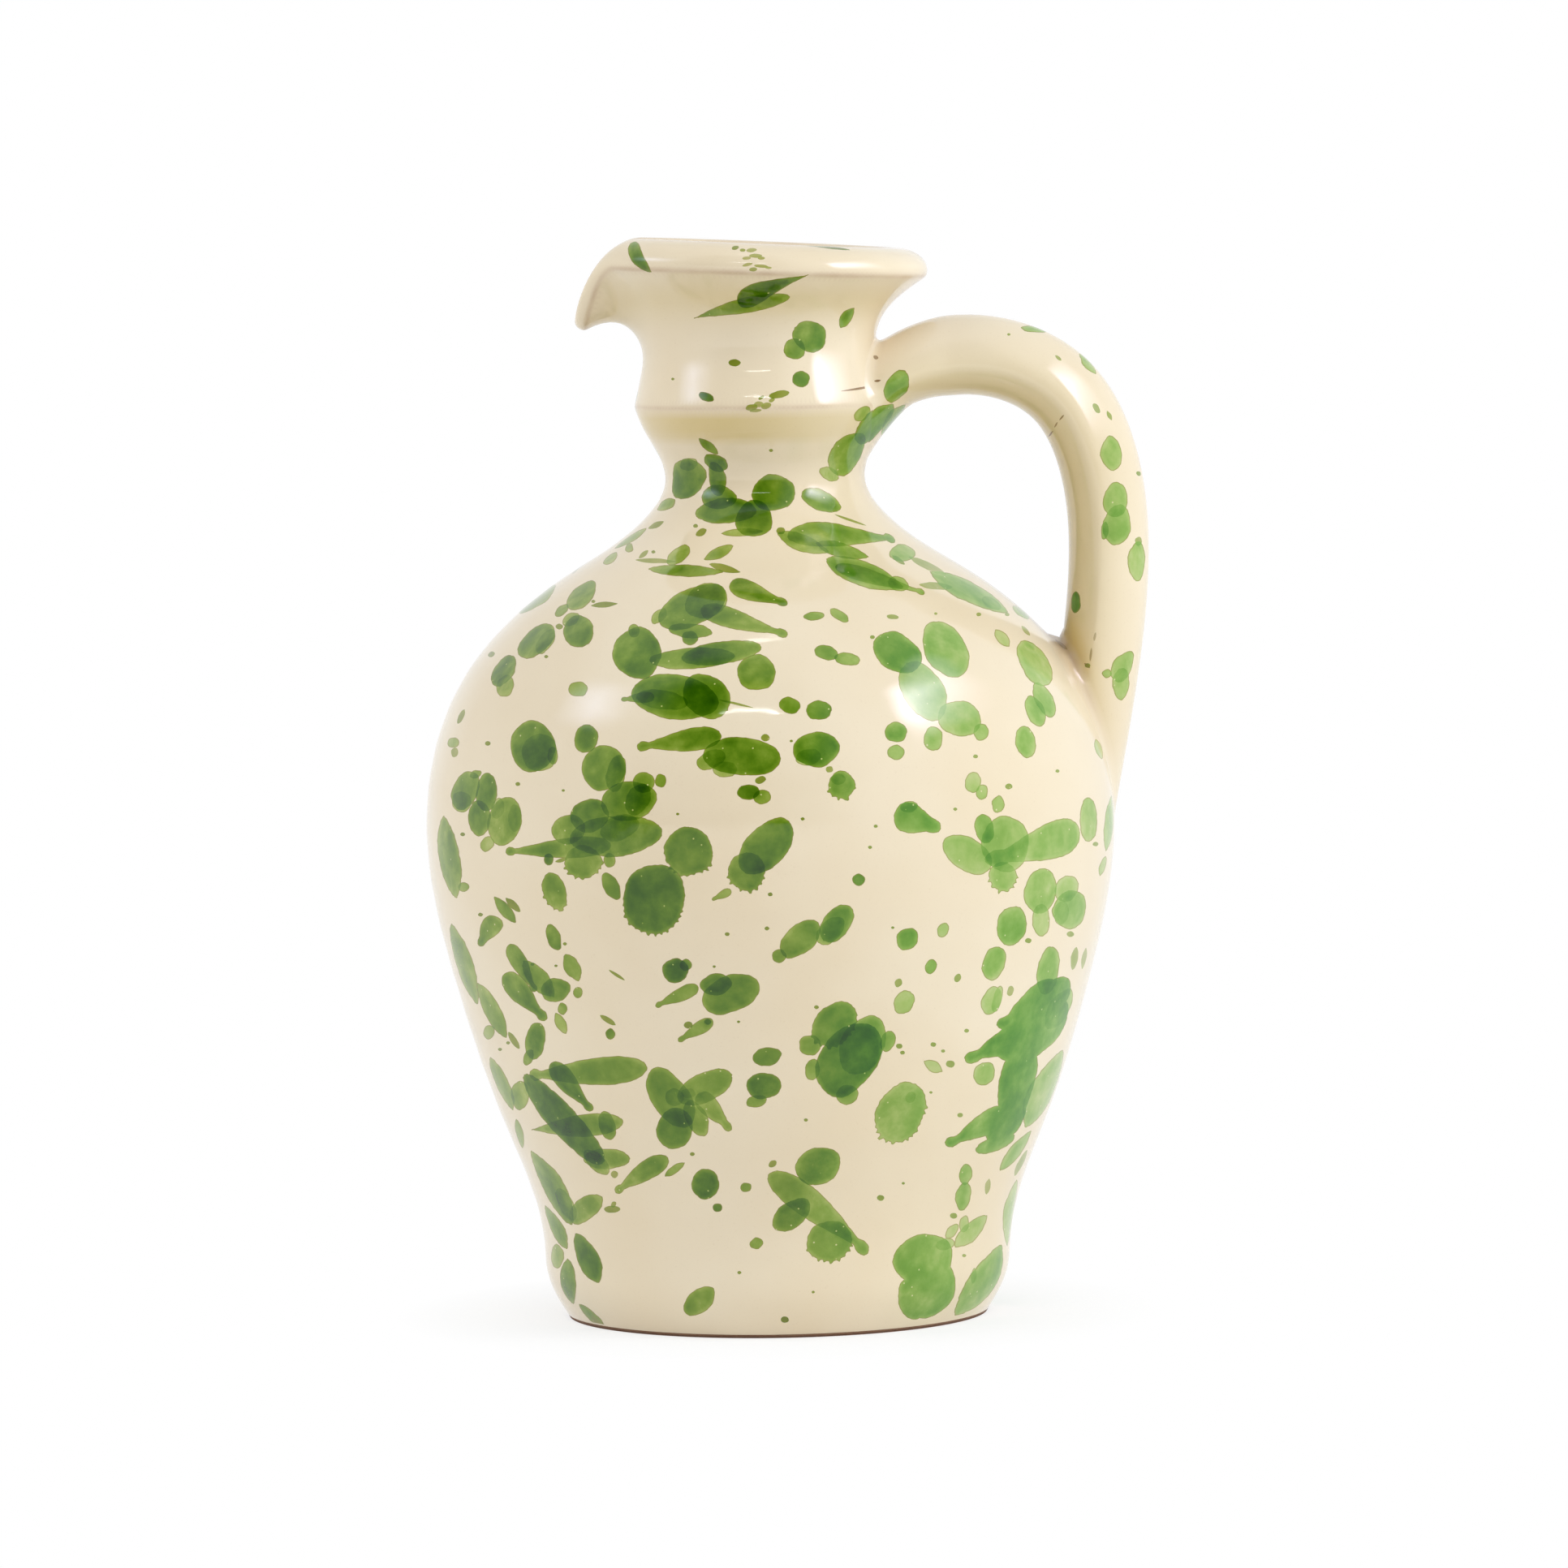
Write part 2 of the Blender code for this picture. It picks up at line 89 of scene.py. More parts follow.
# The spout: the wall is pulled out over a wide sector, and its lip thinned and bent down over a narrow one.
SPOUT_BEARING = math.radians(-90)
SPOUT_PULL_ANGLE = math.radians(62)
SPOUT_BEND_ANGLE = math.radians(32)
SPOUT_PULL_SHARPNESS = 1.5
SPOUT_BEND_SHARPNESS = 2.0
SPOUT_PULL = 2.4 * MM
SPOUT_DROOP = 12.4 * MM
SPOUT_LIP_THINNING = 0.6
SPOUT_LIP_START = math.radians(-80)
RIM_TILT = math.radians(2.6)
PULL_FULL_RISE = 0.75
TILT_START_RISE = 0.5
DROOP_POWER = 4
THINNING_POWER = 2

# How the wall's outline is sampled: steps along it and for its slope, what the lip and the ridge cover
# inside, the lip's share up to its crown, and the softening of corners, in samples.
OUTLINE_STEP = 0.5 * MM
SLOPE_STEP = 1.0 * MM
LIP_SAMPLES = 36
CROWN_SHARE = 0.65
LIP_COVER = 13
RIDGE_COVER = 5
BRIDGE_SAMPLES = 9
CORNER_SAMPLES = 12
FLOOR_SAMPLES = 40
FLOOR_HOLE = 0.5 * MM
SOFTENING = 1.3
SOFTENING_REACH = 3
BEARING_SAMPLES = 720

# What the hand leaves: wandering rings from throwing, and a slow unevenness round the form. Both grow
# from the foot and fade before the lip, and are smoothed away round the handle.
RING_PITCH = 8.5 * MM
RING_HEIGHT = 0.035 * MM
RING_WANDER = 2.0
RING_WANDER_LENGTH = 23.0 * MM
UNEVENNESS = 0.25 * MM
UNEVEN_START = 0.6
UNEVEN_LENGTHS = (40.0 * MM, 31.0 * MM)
MARKS_GROW = 20.0 * MM
MARKS_FADE = 30.0 * MM
HANDLE_BEARING = math.radians(90)
SMOOTHED_ANGLE = math.radians(24)

# Where the glaze lies thicker and warmer, in hollows, with painted shade there as well (a band under the
# ridge, the flare under the lip, the strap's inner face and the corner at its tail), and where it thins over
# edges, with a painted shadow line along the lip's lower edge: how much, how far from the ridge, the lip's
# edge or the strap's end, and how widely spread.
# Painted shade: a warm band under the ridge, over pooled glaze, strongest at the front and left and faded on
# the right, which is lit more.
NECK_POOL_SHADE = 0.85
NECK_POOL_SHADE_TOP = (0.3 * MM, 1.6 * MM)
NECK_POOL_SHADE_END = (5.2 * MM, 8.2 * MM)
NECK_POOL_SHADE_BEARING = math.radians(-22)
NECK_POOL_SHADE_ANGLE = math.radians(38)
NECK_POOL_SHADE_ROUND = 0.3
# Painted shade on the flare under the lip, where the lip's shadow falls, over pooled glaze.
LIP_POOL_SHADE = 0.45
LIP_POOL_SHADE_BELOW = 8.0 * MM
LIP_POOL_SHADE_SPREAD = 3.5 * MM
# Painted shade on the strap's inner face, which faces the wall, over pooled glaze.
STRAP_POOL_SHADE = 0.6
STRAP_POOL_SHADE_START = (3.5 * MM, 7.0 * MM)
# Painted shade in the corner where the strap's tail meets the wall, over pooled glaze.
CORNER_POOL_SHADE = 0.6
CORNER_POOL_SHADE_UP = 7.5 * MM
CORNER_POOL_SHADE_SPREAD = 3.0 * MM
CREASE_THIN = 1.1
CREASE_THIN_UP = 4.2 * MM
CREASE_THIN_SPREAD = 1.6 * MM
RIDGE_THIN = 0.75
RIDGE_THIN_SPREAD = 0.32 * MM
# Thinner glaze along the lip's lower edge, with a painted shadow line there.
LIP_THIN_SHADOW = 1.0
LIP_THIN_SHADOW_SPREAD = 0.4 * MM
CROWN_THIN = 0.5
CROWN_THIN_SPREAD = 1.4 * MM

# The pulled strap handle, along its centre line, as in the CAD.
STRAP_THICKNESS = 15.6 * MM
STRAP_ROOT_THICKNESS = 13.2 * MM
STRAP_INNER_DEPTH = 6.2 * MM
STRAP_EDGE = 0.7 * MM
STRAP_EDGE_POWER = 8
STRAP_WIDTH = 21.0 * MM
STRAP_ROOT_WIDTH = 25.0 * MM
STRAP_TAIL_WIDTH = 18.0 * MM
ROOT_ABOVE_RIDGE = 4.4 * MM
ROOT_PITCH = math.radians(48)
ROOT_DEPTH = 15.0 * MM
CROWN_REACH = 12.0 * MM
CROWN_RISE = 4.5 * MM
BEND_INSET = 8.8 * MM
BEND_DROP = 6.9 * MM
BACK_INSET = 1.4 * MM
BACK_DROP = 21.9 * MM
LANDING_ABOVE_BELLY = 28.0 * MM
LANDING_STANDOFF = 4.2 * MM
STRAP_BOW = 2.3 * MM
TAIL_ABOVE_BELLY = 1.0 * MM
TAIL_DEPTH = 14.0 * MM

# Luting clay at its two ends: how far it climbs the strap and how far it reaches along the wall, on the
# strap's outer face and on its inner one, and how far it sinks under the wall's glaze.
UPPER_CLIMB = (2.2 * MM, 3.2 * MM)
UPPER_REACH = (2.2 * MM, 6.0 * MM)
LOWER_CLIMB = (1.2 * MM, 4.0 * MM)
LOWER_REACH = (1.2 * MM, 7.0 * MM)
LUTING_SUNK = 0.06 * MM

# How the handle is sampled, the steps of the search for where it leaves the wall, and how its ends are
# closed under the wall's glaze: how deep, and at which shares of the end's breadth.
FILLET_SAMPLES = 14
STRAP_SAMPLES = 260
HANDLE_TURNS = 144
HALVINGS = 30
CAP_DEPTH = 1.2 * MM
CAP_RINGS = (0.66, 0.33)

# The bare clay under the foot: its height, its gap to the glaze, its rings, the grooves in it, the share of
# its radius that they cover, and how far its edge stands out.
BARE_FOOT = 0.7 * MM
FOOT_GAP = 0.05 * MM
FOOT_RINGS = 40
GROOVE_PITCH = 2.4 * MM
GROOVE_DEPTH = 0.06 * MM
GROOVE_END = 0.97
FOOT_FLARE = 0.4 * MM

# The glaze's lower edge over it: how it is looked for, and the cover that closes it.
FOOT_SEARCH = 4.0 * MM
FOOT_SAMPLES = 40
COVER_SHARE = 0.995

# The photograph's frame, in pixels, and the camera that took it.
PHOTO_SIDE = 1932
CAMERA_EYE = Vector((0.00274, -1.80, 0.227))
CAMERA_AIM = Vector((0.00274, 0.0, 0.10329))
FRAME_WIDTH = 0.30535
CAMERA_ROLL = -0.01631
SENSOR_WIDTH = 36.0
PIXEL = FRAME_WIDTH / PHOTO_SIDE
CAMERA_REACH = (CAMERA_AIM - CAMERA_EYE).length

# How the picture is measured on a surface: nudges of a turn, a run and a point, the steepest view that is
# followed, how close to a pixel a point has to show, every which point is tried, and the last step of a
# table, just short of its end.
NUDGE_TURN = 0.01
NUDGE_RUN = 0.5 * MM
NUDGE = 0.1 * MM
STEEPEST_VIEW = 0.3
SHOWN_WITHIN = 6.0
SEARCH_STEP = 2
LAST_STEP = 1.000001

# Mesh density: columns and rows, how closely rows follow a bend or a thin edge, how far the cut skin runs on
# inside the mouth, and how far apart an outline's points lie, in the photograph's pixels.
WALL_COLUMNS = 180
WALL_BEARINGS = np.linspace(-math.pi, math.pi, WALL_COLUMNS + 1)[:-1]
HANDLE_COLUMNS = 64
FLATNESS = 0.012 * MM
LONGEST_ROW = 2.6 * MM
SHORTEST_ROW = 0.28 * MM
RUN_SAMPLES = 1500
THIN_SEEN = 0.1
INSIDE_RUN = 26.0 * MM
INNER_ROWS = 40
OUTLINE_PIXELS = 2.8
TOOTH_PIXELS = 1.5
POINT_LIMITS = (14, 260)

# How the skins are laid flat and cut: metres to a radian, how far plain points keep from outlines and
# outlines from the seam, and what counts as the same place or as no length.
BELLY_SCALE = 0.055
STRAP_SCALE = 0.009
GRID_CLEARANCE = 0.45
SEAM_MARGIN = 0.4 * MM
CUT_TOLERANCE = 1e-8
ON_SEAM = 1e-6
ON_EDGE = 1e-7
RUN_DIGITS = 7
LEAST_LENGTH = 1e-9
LEAST_SQUARE = 1e-12

# Where pieces lie in their texture's height, from nought to one.
SKIN_PLACES = (0.02, 0.86)
INNER_PLACE = 0.97
FLOOR_PLACE = 0.005
COVER_PLACE = 0.01
HANDLE_PLACES = (0.04, 0.96)
FOOT_TIP_PLACE = 0.01
FOOT_UNDER_PLACE = 0.5
FOOT_EDGE_PLACES = (0.55, 0.6)
FOOT_TOP_PLACES = (0.65, 1.0)

# The green splashes' outlines, in the photograph's pixels: tails and their knobs, waves and bumps.
TAIL_TAPER = 1.25
TAIL_SHARE = 0.5
TAIL_BLEND = 4
KNOB_SHARE = 0.21
KNOB_REACH = 1.3
NECK_SHARE = 0.6
SMALLEST_KNOB = 2.4
POINT_SIZE = 0.6
SLOW_WAVE = 0.022
SLOW_WAVES = (2, 3, 4, 5)
WAVE_STRENGTHS = (0.4, 1.0)
FINE_BUMP = 0.45
FULL_BUMP_WIDTH = 16.0
BUMP_LENGTHS = (26.0, 17.0, 11.0, 7.5)
FEWEST_BUMPS = 4
DEEPEST_DENT = 0.4
LEAST_SLANT = 0.1

# Small drips round a splash's lower side, from where its edge starts to turn down.
TOOTHED_SIDE = (-0.2, 0.5)
TOOTH_PITCH = 8.5
TOOTH_DEPTH = 5.0
TOOTH_DEPTHS = (0.2, 1.0)
TOOTH_DEPTH_WAVES = (3, 5, 7, 11)
TOOTH_DRIFT = 1.6
TOOTH_DRIFT_WAVES = (2, 3, 5, 8)
TOOTH_BLUNTNESS = 0.6

# How thick the green lies: a dark line along the edge, a thinner border, what an overlap adds, specks, and
# the thinner green towards the handle, between two pixels across the photograph.
RIM_WIDTH = 1.6
SPECK_RIM = 0.5
EDGE_REACH = 6.0
EDGE_LAYER = 0.72
SMALLEST_RIMMED = 9.0
SMALLEST_DEEP = 24.0
OVERLAP_SHARE = 0.62
SPECK_THICKNESS = 1.2
SPECK_FLATNESS = 0.8
RIGHT_START = 1070
RIGHT_END = 1180
RIGHT_THINNING = 0.28

# Splashes on the sides that the photograph doesn't show, thrown at random in clusters of the same kinds.
WALL_SEED = 4
BACK_CLUSTERS = 120
BACK_SPECKS = 60
BACK_TURNS = (math.radians(98), math.radians(262))
BACK_MARGIN = 6.0 * MM
HANDLE_SEED = 9
HANDLE_CLUSTERS = 7
HANDLE_HIDDEN_SPECKS = 10
HANDLE_FAR_TURNS = (-0.9, 0.9)
HANDLE_FAR_ENDS = (20.0 * MM, 40.0 * MM)
CLUSTER_COUNTS = (1, 1, 1, 2, 2, 3, 5)
CLUSTER_KINDS = ("round", "round", "round", "leaf", "tailed", "toothed")
CLUSTER_SPREAD = 30.0
COMMON_LENGTH = 47.0
LENGTH_SPREAD = 0.5
LONGEST_SPLASH = 120.0
LEAN_SPREAD = 0.4
SLENDER_SHARES = (0.2, 0.4)
ROUND_SHARES = (0.5, 0.95)
HIDDEN_THICKNESSES = (0.8, 1.6)
HIDDEN_SPECK_SIZES = (4, 10)

# Splashes on the thrown wall, from the photograph's front: middle x and y, length, width, lean from
# the level in degrees, all as seen in the frame's pixels, and how thick the glaze lies.
ROUND_SPLASHES = (
    (783, 313, 46, 17, 112, 1.3), (998, 414, 43, 38, 150, 1.3), (979, 430, 27, 26, 0, 1.2),
    (905, 447, 15, 9, 0, 1.4), (987, 467, 22, 20, 0, 1.3), (870, 489, 20, 11, -22, 2.0),
    (960, 486, 26, 9, 12, 1.1), (846, 590, 52, 42, 70, 1.2), (848, 572, 22, 16, 10, 0.8),
    (882, 570, 31, 20, -25, 1.4), (884, 590, 44, 21, 100, 1.2), (885, 613, 43, 30, 0, 1.0),
    (893, 630, 76, 31, 3, 1.1), (929, 640, 47, 44, 40, 1.3), (953, 608, 54, 45, 0, 1.2),
    (1012, 617, 52, 25, -22, 1.1), (1022, 584, 26, 16, -25, 0.8), (1045, 559, 60, 36, 52, 1.0),
    (1080, 521, 66, 25, 52, 1.3), (1063, 510, 24, 15, 40, 0.9), (662, 738, 56, 38, 35, 0.9),
    (716, 733, 46, 24, 45, 1.1), (692, 752, 21, 11, 42, 1.2), (712, 777, 40, 37, 90, 1.2),
    (703, 763, 23, 15, 30, 0.8), (660, 789, 56, 30, 42, 1.1), (672, 790, 36, 17, 55, 0.7),
    (620, 826, 44, 24, 57, 1.4), (622, 845, 28, 21, 70, 0.9), (712, 849, 24, 19, 0, 0.8),
    (784, 803, 64, 59, 90, 1.2), (781, 777, 17, 14, 90, 1.0), (889, 804, 100, 28, 8, 1.1),
    (852, 811, 106, 26, 3, 1.0), (932, 828, 48, 44, 0, 1.2), (830, 858, 108, 55, -8, 1.1),
    (870, 857, 64, 50, -35, 1.1), (815, 862, 64, 24, -8, 0.8), (854, 746, 90, 46, 25, 1.1),
    (870, 739, 54, 42, 20, 0.8), (812, 759, 24, 14, 45, 0.7), (850, 777, 54, 18, -5, 0.9),
    (850, 786, 20, 18, 0, 1.0), (836, 684, 34, 18, 38, 0.9), (752, 688, 22, 12, 45, 0.7),
    (775, 675, 12, 10, 80, 0.7), (1113, 681, 32, 21, 0, 0.7), (1107, 719, 26, 18, -20, 0.8),
    (1222, 743, 26, 14, -30, 0.9), (1258, 755, 26, 19, -25, 1.2), (1003, 759, 26, 11, 5, 0.9),
    (1034, 758, 27, 12, -32, 0.8), (1100, 760, 15, 6, -5, 0.8), (1106, 803, 64, 46, -30, 1.3),
    (1138, 850, 80, 50, -60, 0.9), (1166, 798, 76, 50, -60, 1.2), (1018, 804, 30, 18, -15, 1.1),
    (1044, 812, 32, 16, -8, 1.1), (1276, 816, 64, 33, -58, 0.9), (1276, 876, 41, 22, -66, 1.0),
    (1287, 862, 47, 22, -62, 0.9), (973, 869, 27, 20, -15, 1.3), (1009, 875, 32, 24, 0, 1.3),
    (655, 919, 64, 55, 95, 1.2), (664, 927, 46, 44, 90, 0.7), (681, 931, 22, 13, 90, 1.0),
    (722, 910, 36, 29, 75, 1.2), (743, 946, 56, 54, 90, 1.1), (759, 953, 46, 24, 80, 0.9),
    (793, 964, 27, 26, 0, 1.0), (774, 987, 70, 48, 10, 1.2), (786, 985, 42, 28, 60, 0.9),
    (726, 1005, 48, 41, 10, 1.2), (700, 1022, 42, 36, 20, 1.1), (757, 1030, 114, 50, 5, 1.2),
    (763, 1020, 50, 30, 20, 0.8), (751, 1060, 18, 15, 90, 0.9), (676, 1059, 15, 12, 90, 1.6),
    (814, 962, 17, 14, 90, 1.2), (572, 974, 50, 32, 65, 1.1), (586, 954, 15, 10, 20, 1.0),
    (599, 976, 48, 26, 85, 1.2), (568, 988, 26, 24, 90, 0.7), (590, 1008, 44, 28, 90, 1.1),
    (621, 1012, 60, 42, 80, 1.0), (634, 1008, 34, 16, 90, 0.5), (613, 996, 26, 16, 80, 0.5),
    (600, 1040, 20, 16, 60, 0.8), (571, 1093, 14, 12, 0, 1.0), (753, 1092, 37, 19, 118, 1.2),
    (682, 1155, 34, 17, 110, 1.6), (558, 915, 15, 13, 20, 0.8), (560, 927, 12, 9, 80, 0.8),
    (914, 932, 96, 48, -3, 1.3), (876, 936, 38, 22, 25, 0.8), (893, 948, 30, 20, 0, 0.6),
    (1006, 923, 58, 43, 8, 1.2), (996, 933, 32, 20, 10, 0.5), (943, 909, 11, 9, 0, 1.0),
    (937, 961, 14, 9, 20, 1.0), (922, 976, 28, 19, 5, 1.4), (939, 982, 22, 18, 10, 1.0),
    (1022, 948, 9, 8, 0, 0.7), (1033, 960, 18, 14, 0, 0.7), (944, 1043, 84, 50, 48, 1.3),
    (1058, 1084, 16, 15, 0, 1.6), (1031, 1138, 54, 33, 52, 1.1), (1023, 1147, 42, 26, 45, 0.7),
    (986, 1157, 60, 35, 42, 1.2), (960, 1178, 18, 17, 0, 1.1), (1104, 902, 28, 25, 0, 1.2),
    (1104, 927, 21, 19, 0, 0.9), (1150, 910, 30, 24, 90, 1.0), (1183, 885, 54, 44, -15, 1.0),
    (1209, 902, 21, 19, 90, 1.0), (1264, 914, 40, 25, 100, 1.0), (1199, 964, 26, 20, 80, 0.8),
    (1210, 976, 19, 15, 80, 0.8), (1230, 991, 21, 16, 85, 0.9), (1120, 994, 22, 14, 10, 0.8),
    (1213, 1021, 36, 24, 100, 1.2), (1240, 1040, 70, 58, 90, 0.9), (1193, 1053, 68, 40, 148, 0.9),
    (1342, 1010, 55, 22, 90, 1.0), (1283, 1098, 57, 39, 80, 1.0), (1283, 1134, 40, 22, 90, 0.8),
    (1315, 1095, 34, 28, 60, 0.7), (1320, 1121, 48, 41, 70, 1.0), (1308, 1125, 30, 18, 80, 0.5),
    (1247, 1141, 50, 36, 78, 1.1), (1118, 1157, 29, 26, 45, 1.1), (1162, 1146, 19, 14, 65, 0.9),
    (684, 1220, 37, 29, 10, 1.1), (712, 1223, 14, 12, 90, 0.9), (693, 1243, 15, 12, 90, 1.0),
    (659, 1283, 46, 25, 82, 1.1), (651, 1303, 21, 12, 70, 1.2), (752, 1274, 14, 12, 90, 1.3),
    (602, 1272, 18, 14, 80, 0.8), (692, 1380, 146, 36, 131, 1.5), (735, 1432, 40, 20, 135, 1.0),
    (748, 1387, 37, 20, 105, 1.1), (746, 1428, 58, 25, 0, 0.9), (640, 1350, 36, 22, 90, 0.8),
    (826, 1353, 84, 46, 125, 0.9), (868, 1340, 74, 36, 25, 0.9), (831, 1391, 52, 44, 70, 1.1),
    (858, 1378, 48, 26, 115, 0.9), (831, 1352, 23, 22, 0, 0.7), (848, 1347, 18, 12, 0, 0.5),
    (832, 1196, 32, 31, 0, 1.6), (845, 1189, 15, 15, 0, 1.2), (882, 1213, 39, 27, 5, 1.3),
    (900, 1225, 74, 46, 22, 1.1), (945, 1302, 36, 23, 12, 1.2), (941, 1338, 43, 33, 0, 1.3),
    (932, 1357, 26, 15, 10, 0.9), (1046, 1306, 102, 68, 52, 1.3), (1063, 1288, 78, 52, 65, 0.8),
    (998, 1288, 27, 26, 0, 0.9), (1001, 1318, 27, 18, 80, 0.9), (1094, 1283, 27, 18, 70, 0.9),
    (1044, 1349, 28, 24, 20, 0.9), (1122, 1352, 15, 12, 60, 0.6), (1107, 1211, 11, 9, 60, 1.0),
    (1114, 1235, 31, 24, 60, 0.8), (1008, 1437, 58, 45, 20, 1.3), (1147, 1191, 19, 14, 70, 1.2),
    (1180, 1205, 11, 8, 60, 1.0), (1225, 1187, 43, 28, 72, 1.0), (1222, 1233, 36, 24, 68, 0.9),
    (1229, 1231, 34, 11, 75, 0.8), (1245, 1221, 13, 8, 75, 0.9), (1292, 1196, 60, 27, 80, 1.0),
    (1213, 1323, 30, 26, 60, 0.9), (757, 1447, 9, 9, 0, 0.9), (869, 1459, 38, 34, 80, 1.4),
    (919, 1463, 14, 12, 10, 1.2), (884, 1488, 12, 11, 0, 1.4), (952, 1434, 11, 8, 35, 0.9),
    (754, 1490, 20, 9, 0, 0.9), (756, 1484, 8, 6, 60, 0.8), (720, 1490, 48, 28, 38, 0.9),
    (697, 1484, 44, 18, 118, 0.7), (686, 1548, 30, 16, 90, 0.7), (861, 1604, 46, 28, 42, 1.0),
    (932, 1532, 17, 14, 15, 1.3), (967, 1626, 10, 8, 0, 1.8), (975, 1497, 54, 32, 38, 1.2),
    (1165, 1533, 24, 14, 15, 0.7), (1188, 1508, 21, 12, 80, 0.6), (1173, 1517, 22, 12, 50, 0.6),
    (1190, 1447, 26, 16, 80, 1.1), (1187, 1474, 35, 19, 80, 1.3),
)
TOOTHED_SPLASHES = (
    (718, 1062, 46, 40, 0, 1.0), (683, 1098, 48, 28, 108, 1.0), (805, 1108, 88, 76, 70, 1.4),
    (1037, 967, 34, 33, 60, 1.2), (848, 1049, 61, 59, 90, 1.2), (920, 1074, 48, 45, 90, 1.1),
    (1236, 1080, 36, 34, 90, 0.9), (1028, 1262, 64, 46, 48, 1.1), (1110, 1371, 80, 56, 62, 1.0),
    (1022, 1529, 56, 50, 20, 0.9),
)
LEAF_SPLASHES = (
    (1043, 391, 30, 14, 55, 1.1), (873, 550, 31, 11, -38, 1.1), (1100, 516, 50, 17, 53, 1.0),
    (744, 745, 33, 7, 4, 1.2), (595, 801, 46, 13, 50, 0.8), (886, 681, 40, 14, 25, 1.0),
    (842, 703, 94, 15, -2, 1.1), (806, 691, 50, 6, -2, 0.8), (892, 700, 40, 9, -15, 1.0),
    (793, 683, 15, 6, 40, 0.7), (777, 664, 48, 11, 30, 0.8), (808, 647, 21, 7, 25, 0.8),
    (864, 656, 15, 9, 30, 1.0), (914, 656, 52, 10, 3, 0.8), (820, 622, 26, 13, 30, 0.8),
    (988, 669, 68, 21, -20, 0.9), (1037, 678, 68, 18, -15, 1.1), (1063, 706, 102, 31, -20, 0.9),
    (1154, 722, 42, 9, -5, 0.8), (1195, 728, 110, 25, -27, 1.2), (1143, 697, 52, 9, -25, 0.7),
    (1107, 690, 19, 6, -35, 0.8), (1235, 786, 27, 14, -50, 0.8), (1264, 777, 16, 6, -50, 0.7),
    (568, 883, 20, 7, 65, 0.9), (552, 1056, 104, 26, 100, 1.0), (632, 1115, 25, 9, 137, 1.0),
    (622, 1121, 42, 14, 130, 1.2), (571, 1188, 104, 23, 107, 0.9), (663, 1206, 58, 25, 130, 1.0),
    (705, 1192, 37, 20, 118, 1.0), (606, 1245, 76, 21, 117, 0.9), (691, 1261, 29, 13, 117, 0.9),
    (633, 1282, 25, 8, 123, 1.0), (749, 1257, 23, 7, 148, 0.8), (618, 1335, 72, 18, 115, 0.8),
    (640, 1397, 38, 11, 100, 0.9), (831, 1441, 30, 10, 35, 1.1), (681, 1463, 104, 26, 118, 1.1),
    (685, 1512, 60, 16, 116, 0.9), (724, 1550, 68, 27, 115, 1.2), (699, 1580, 58, 19, 97, 1.1),
    (729, 1622, 44, 11, 137, 1.0), (1197, 1517, 56, 21, 45, 0.8), (1217, 1462, 20, 7, 80, 0.7),
    (1200, 1572, 20, 7, 85, 0.7), (1214, 1580, 106, 33, 56, 1.2), (1244, 1494, 84, 20, 84, 0.8),
    (1252, 1418, 62, 15, 52, 1.0), (1258, 1433, 36, 9, 62, 0.8), (1150, 1314, 26, 14, 150, 0.7),
    (1288, 1342, 106, 34, 63, 0.9), (1306, 1243, 58, 26, 60, 0.8), (1324, 1181, 29, 9, 80, 0.7),
    (1336, 1181, 27, 7, 80, 0.6), (1359, 1067, 26, 10, 70, 0.8), (1354, 923, 26, 13, 110, 0.8),
    (1368, 1014, 70, 20, 80, 0.9),
)
# Splashes that ran together into one even pool.
POOLED_SPLASHES = (
    (1298, 1230, 62, 36, 52, 1.75), (1278, 1270, 108, 56, 36, 1.75), (1255, 1336, 104, 44, 76, 1.75),
    (1241, 1382, 66, 36, 50, 1.75), (1228, 1409, 52, 18, 22, 1.5), (1140, 1553, 74, 66, 20, 1.15),
    (1148, 1589, 76, 64, 75, 1.15), (1129, 1601, 52, 44, 90, 1.15),
)
# Broken patches, where the glaze caught on an edge.
BROKEN_SPLASHES = (
    (906, 305, 9, 5, 15, 1.5), (915, 308, 7, 4, 0, 0.9), (926, 308, 13, 5, 5, 0.5),
    (931, 315, 16, 5, 0, 0.6), (920, 318, 11, 4, 5, 0.4), (938, 318, 9, 4, 0, 0.5),
    (921, 326, 13, 4, 15, 0.35), (938, 328, 18, 4, -5, 0.45), (928, 332, 10, 5, 5, 0.6),
    (947, 330, 8, 3, 0, 0.35), (926, 502, 15, 8, 10, 0.6), (935, 498, 12, 7, 0, 0.35),
    (944, 500, 13, 8, 20, 0.5), (938, 490, 8, 4, 30, 1.0), (951, 493, 8, 5, 30, 0.6),
    (931, 506, 15, 4, 5, 0.5),
)
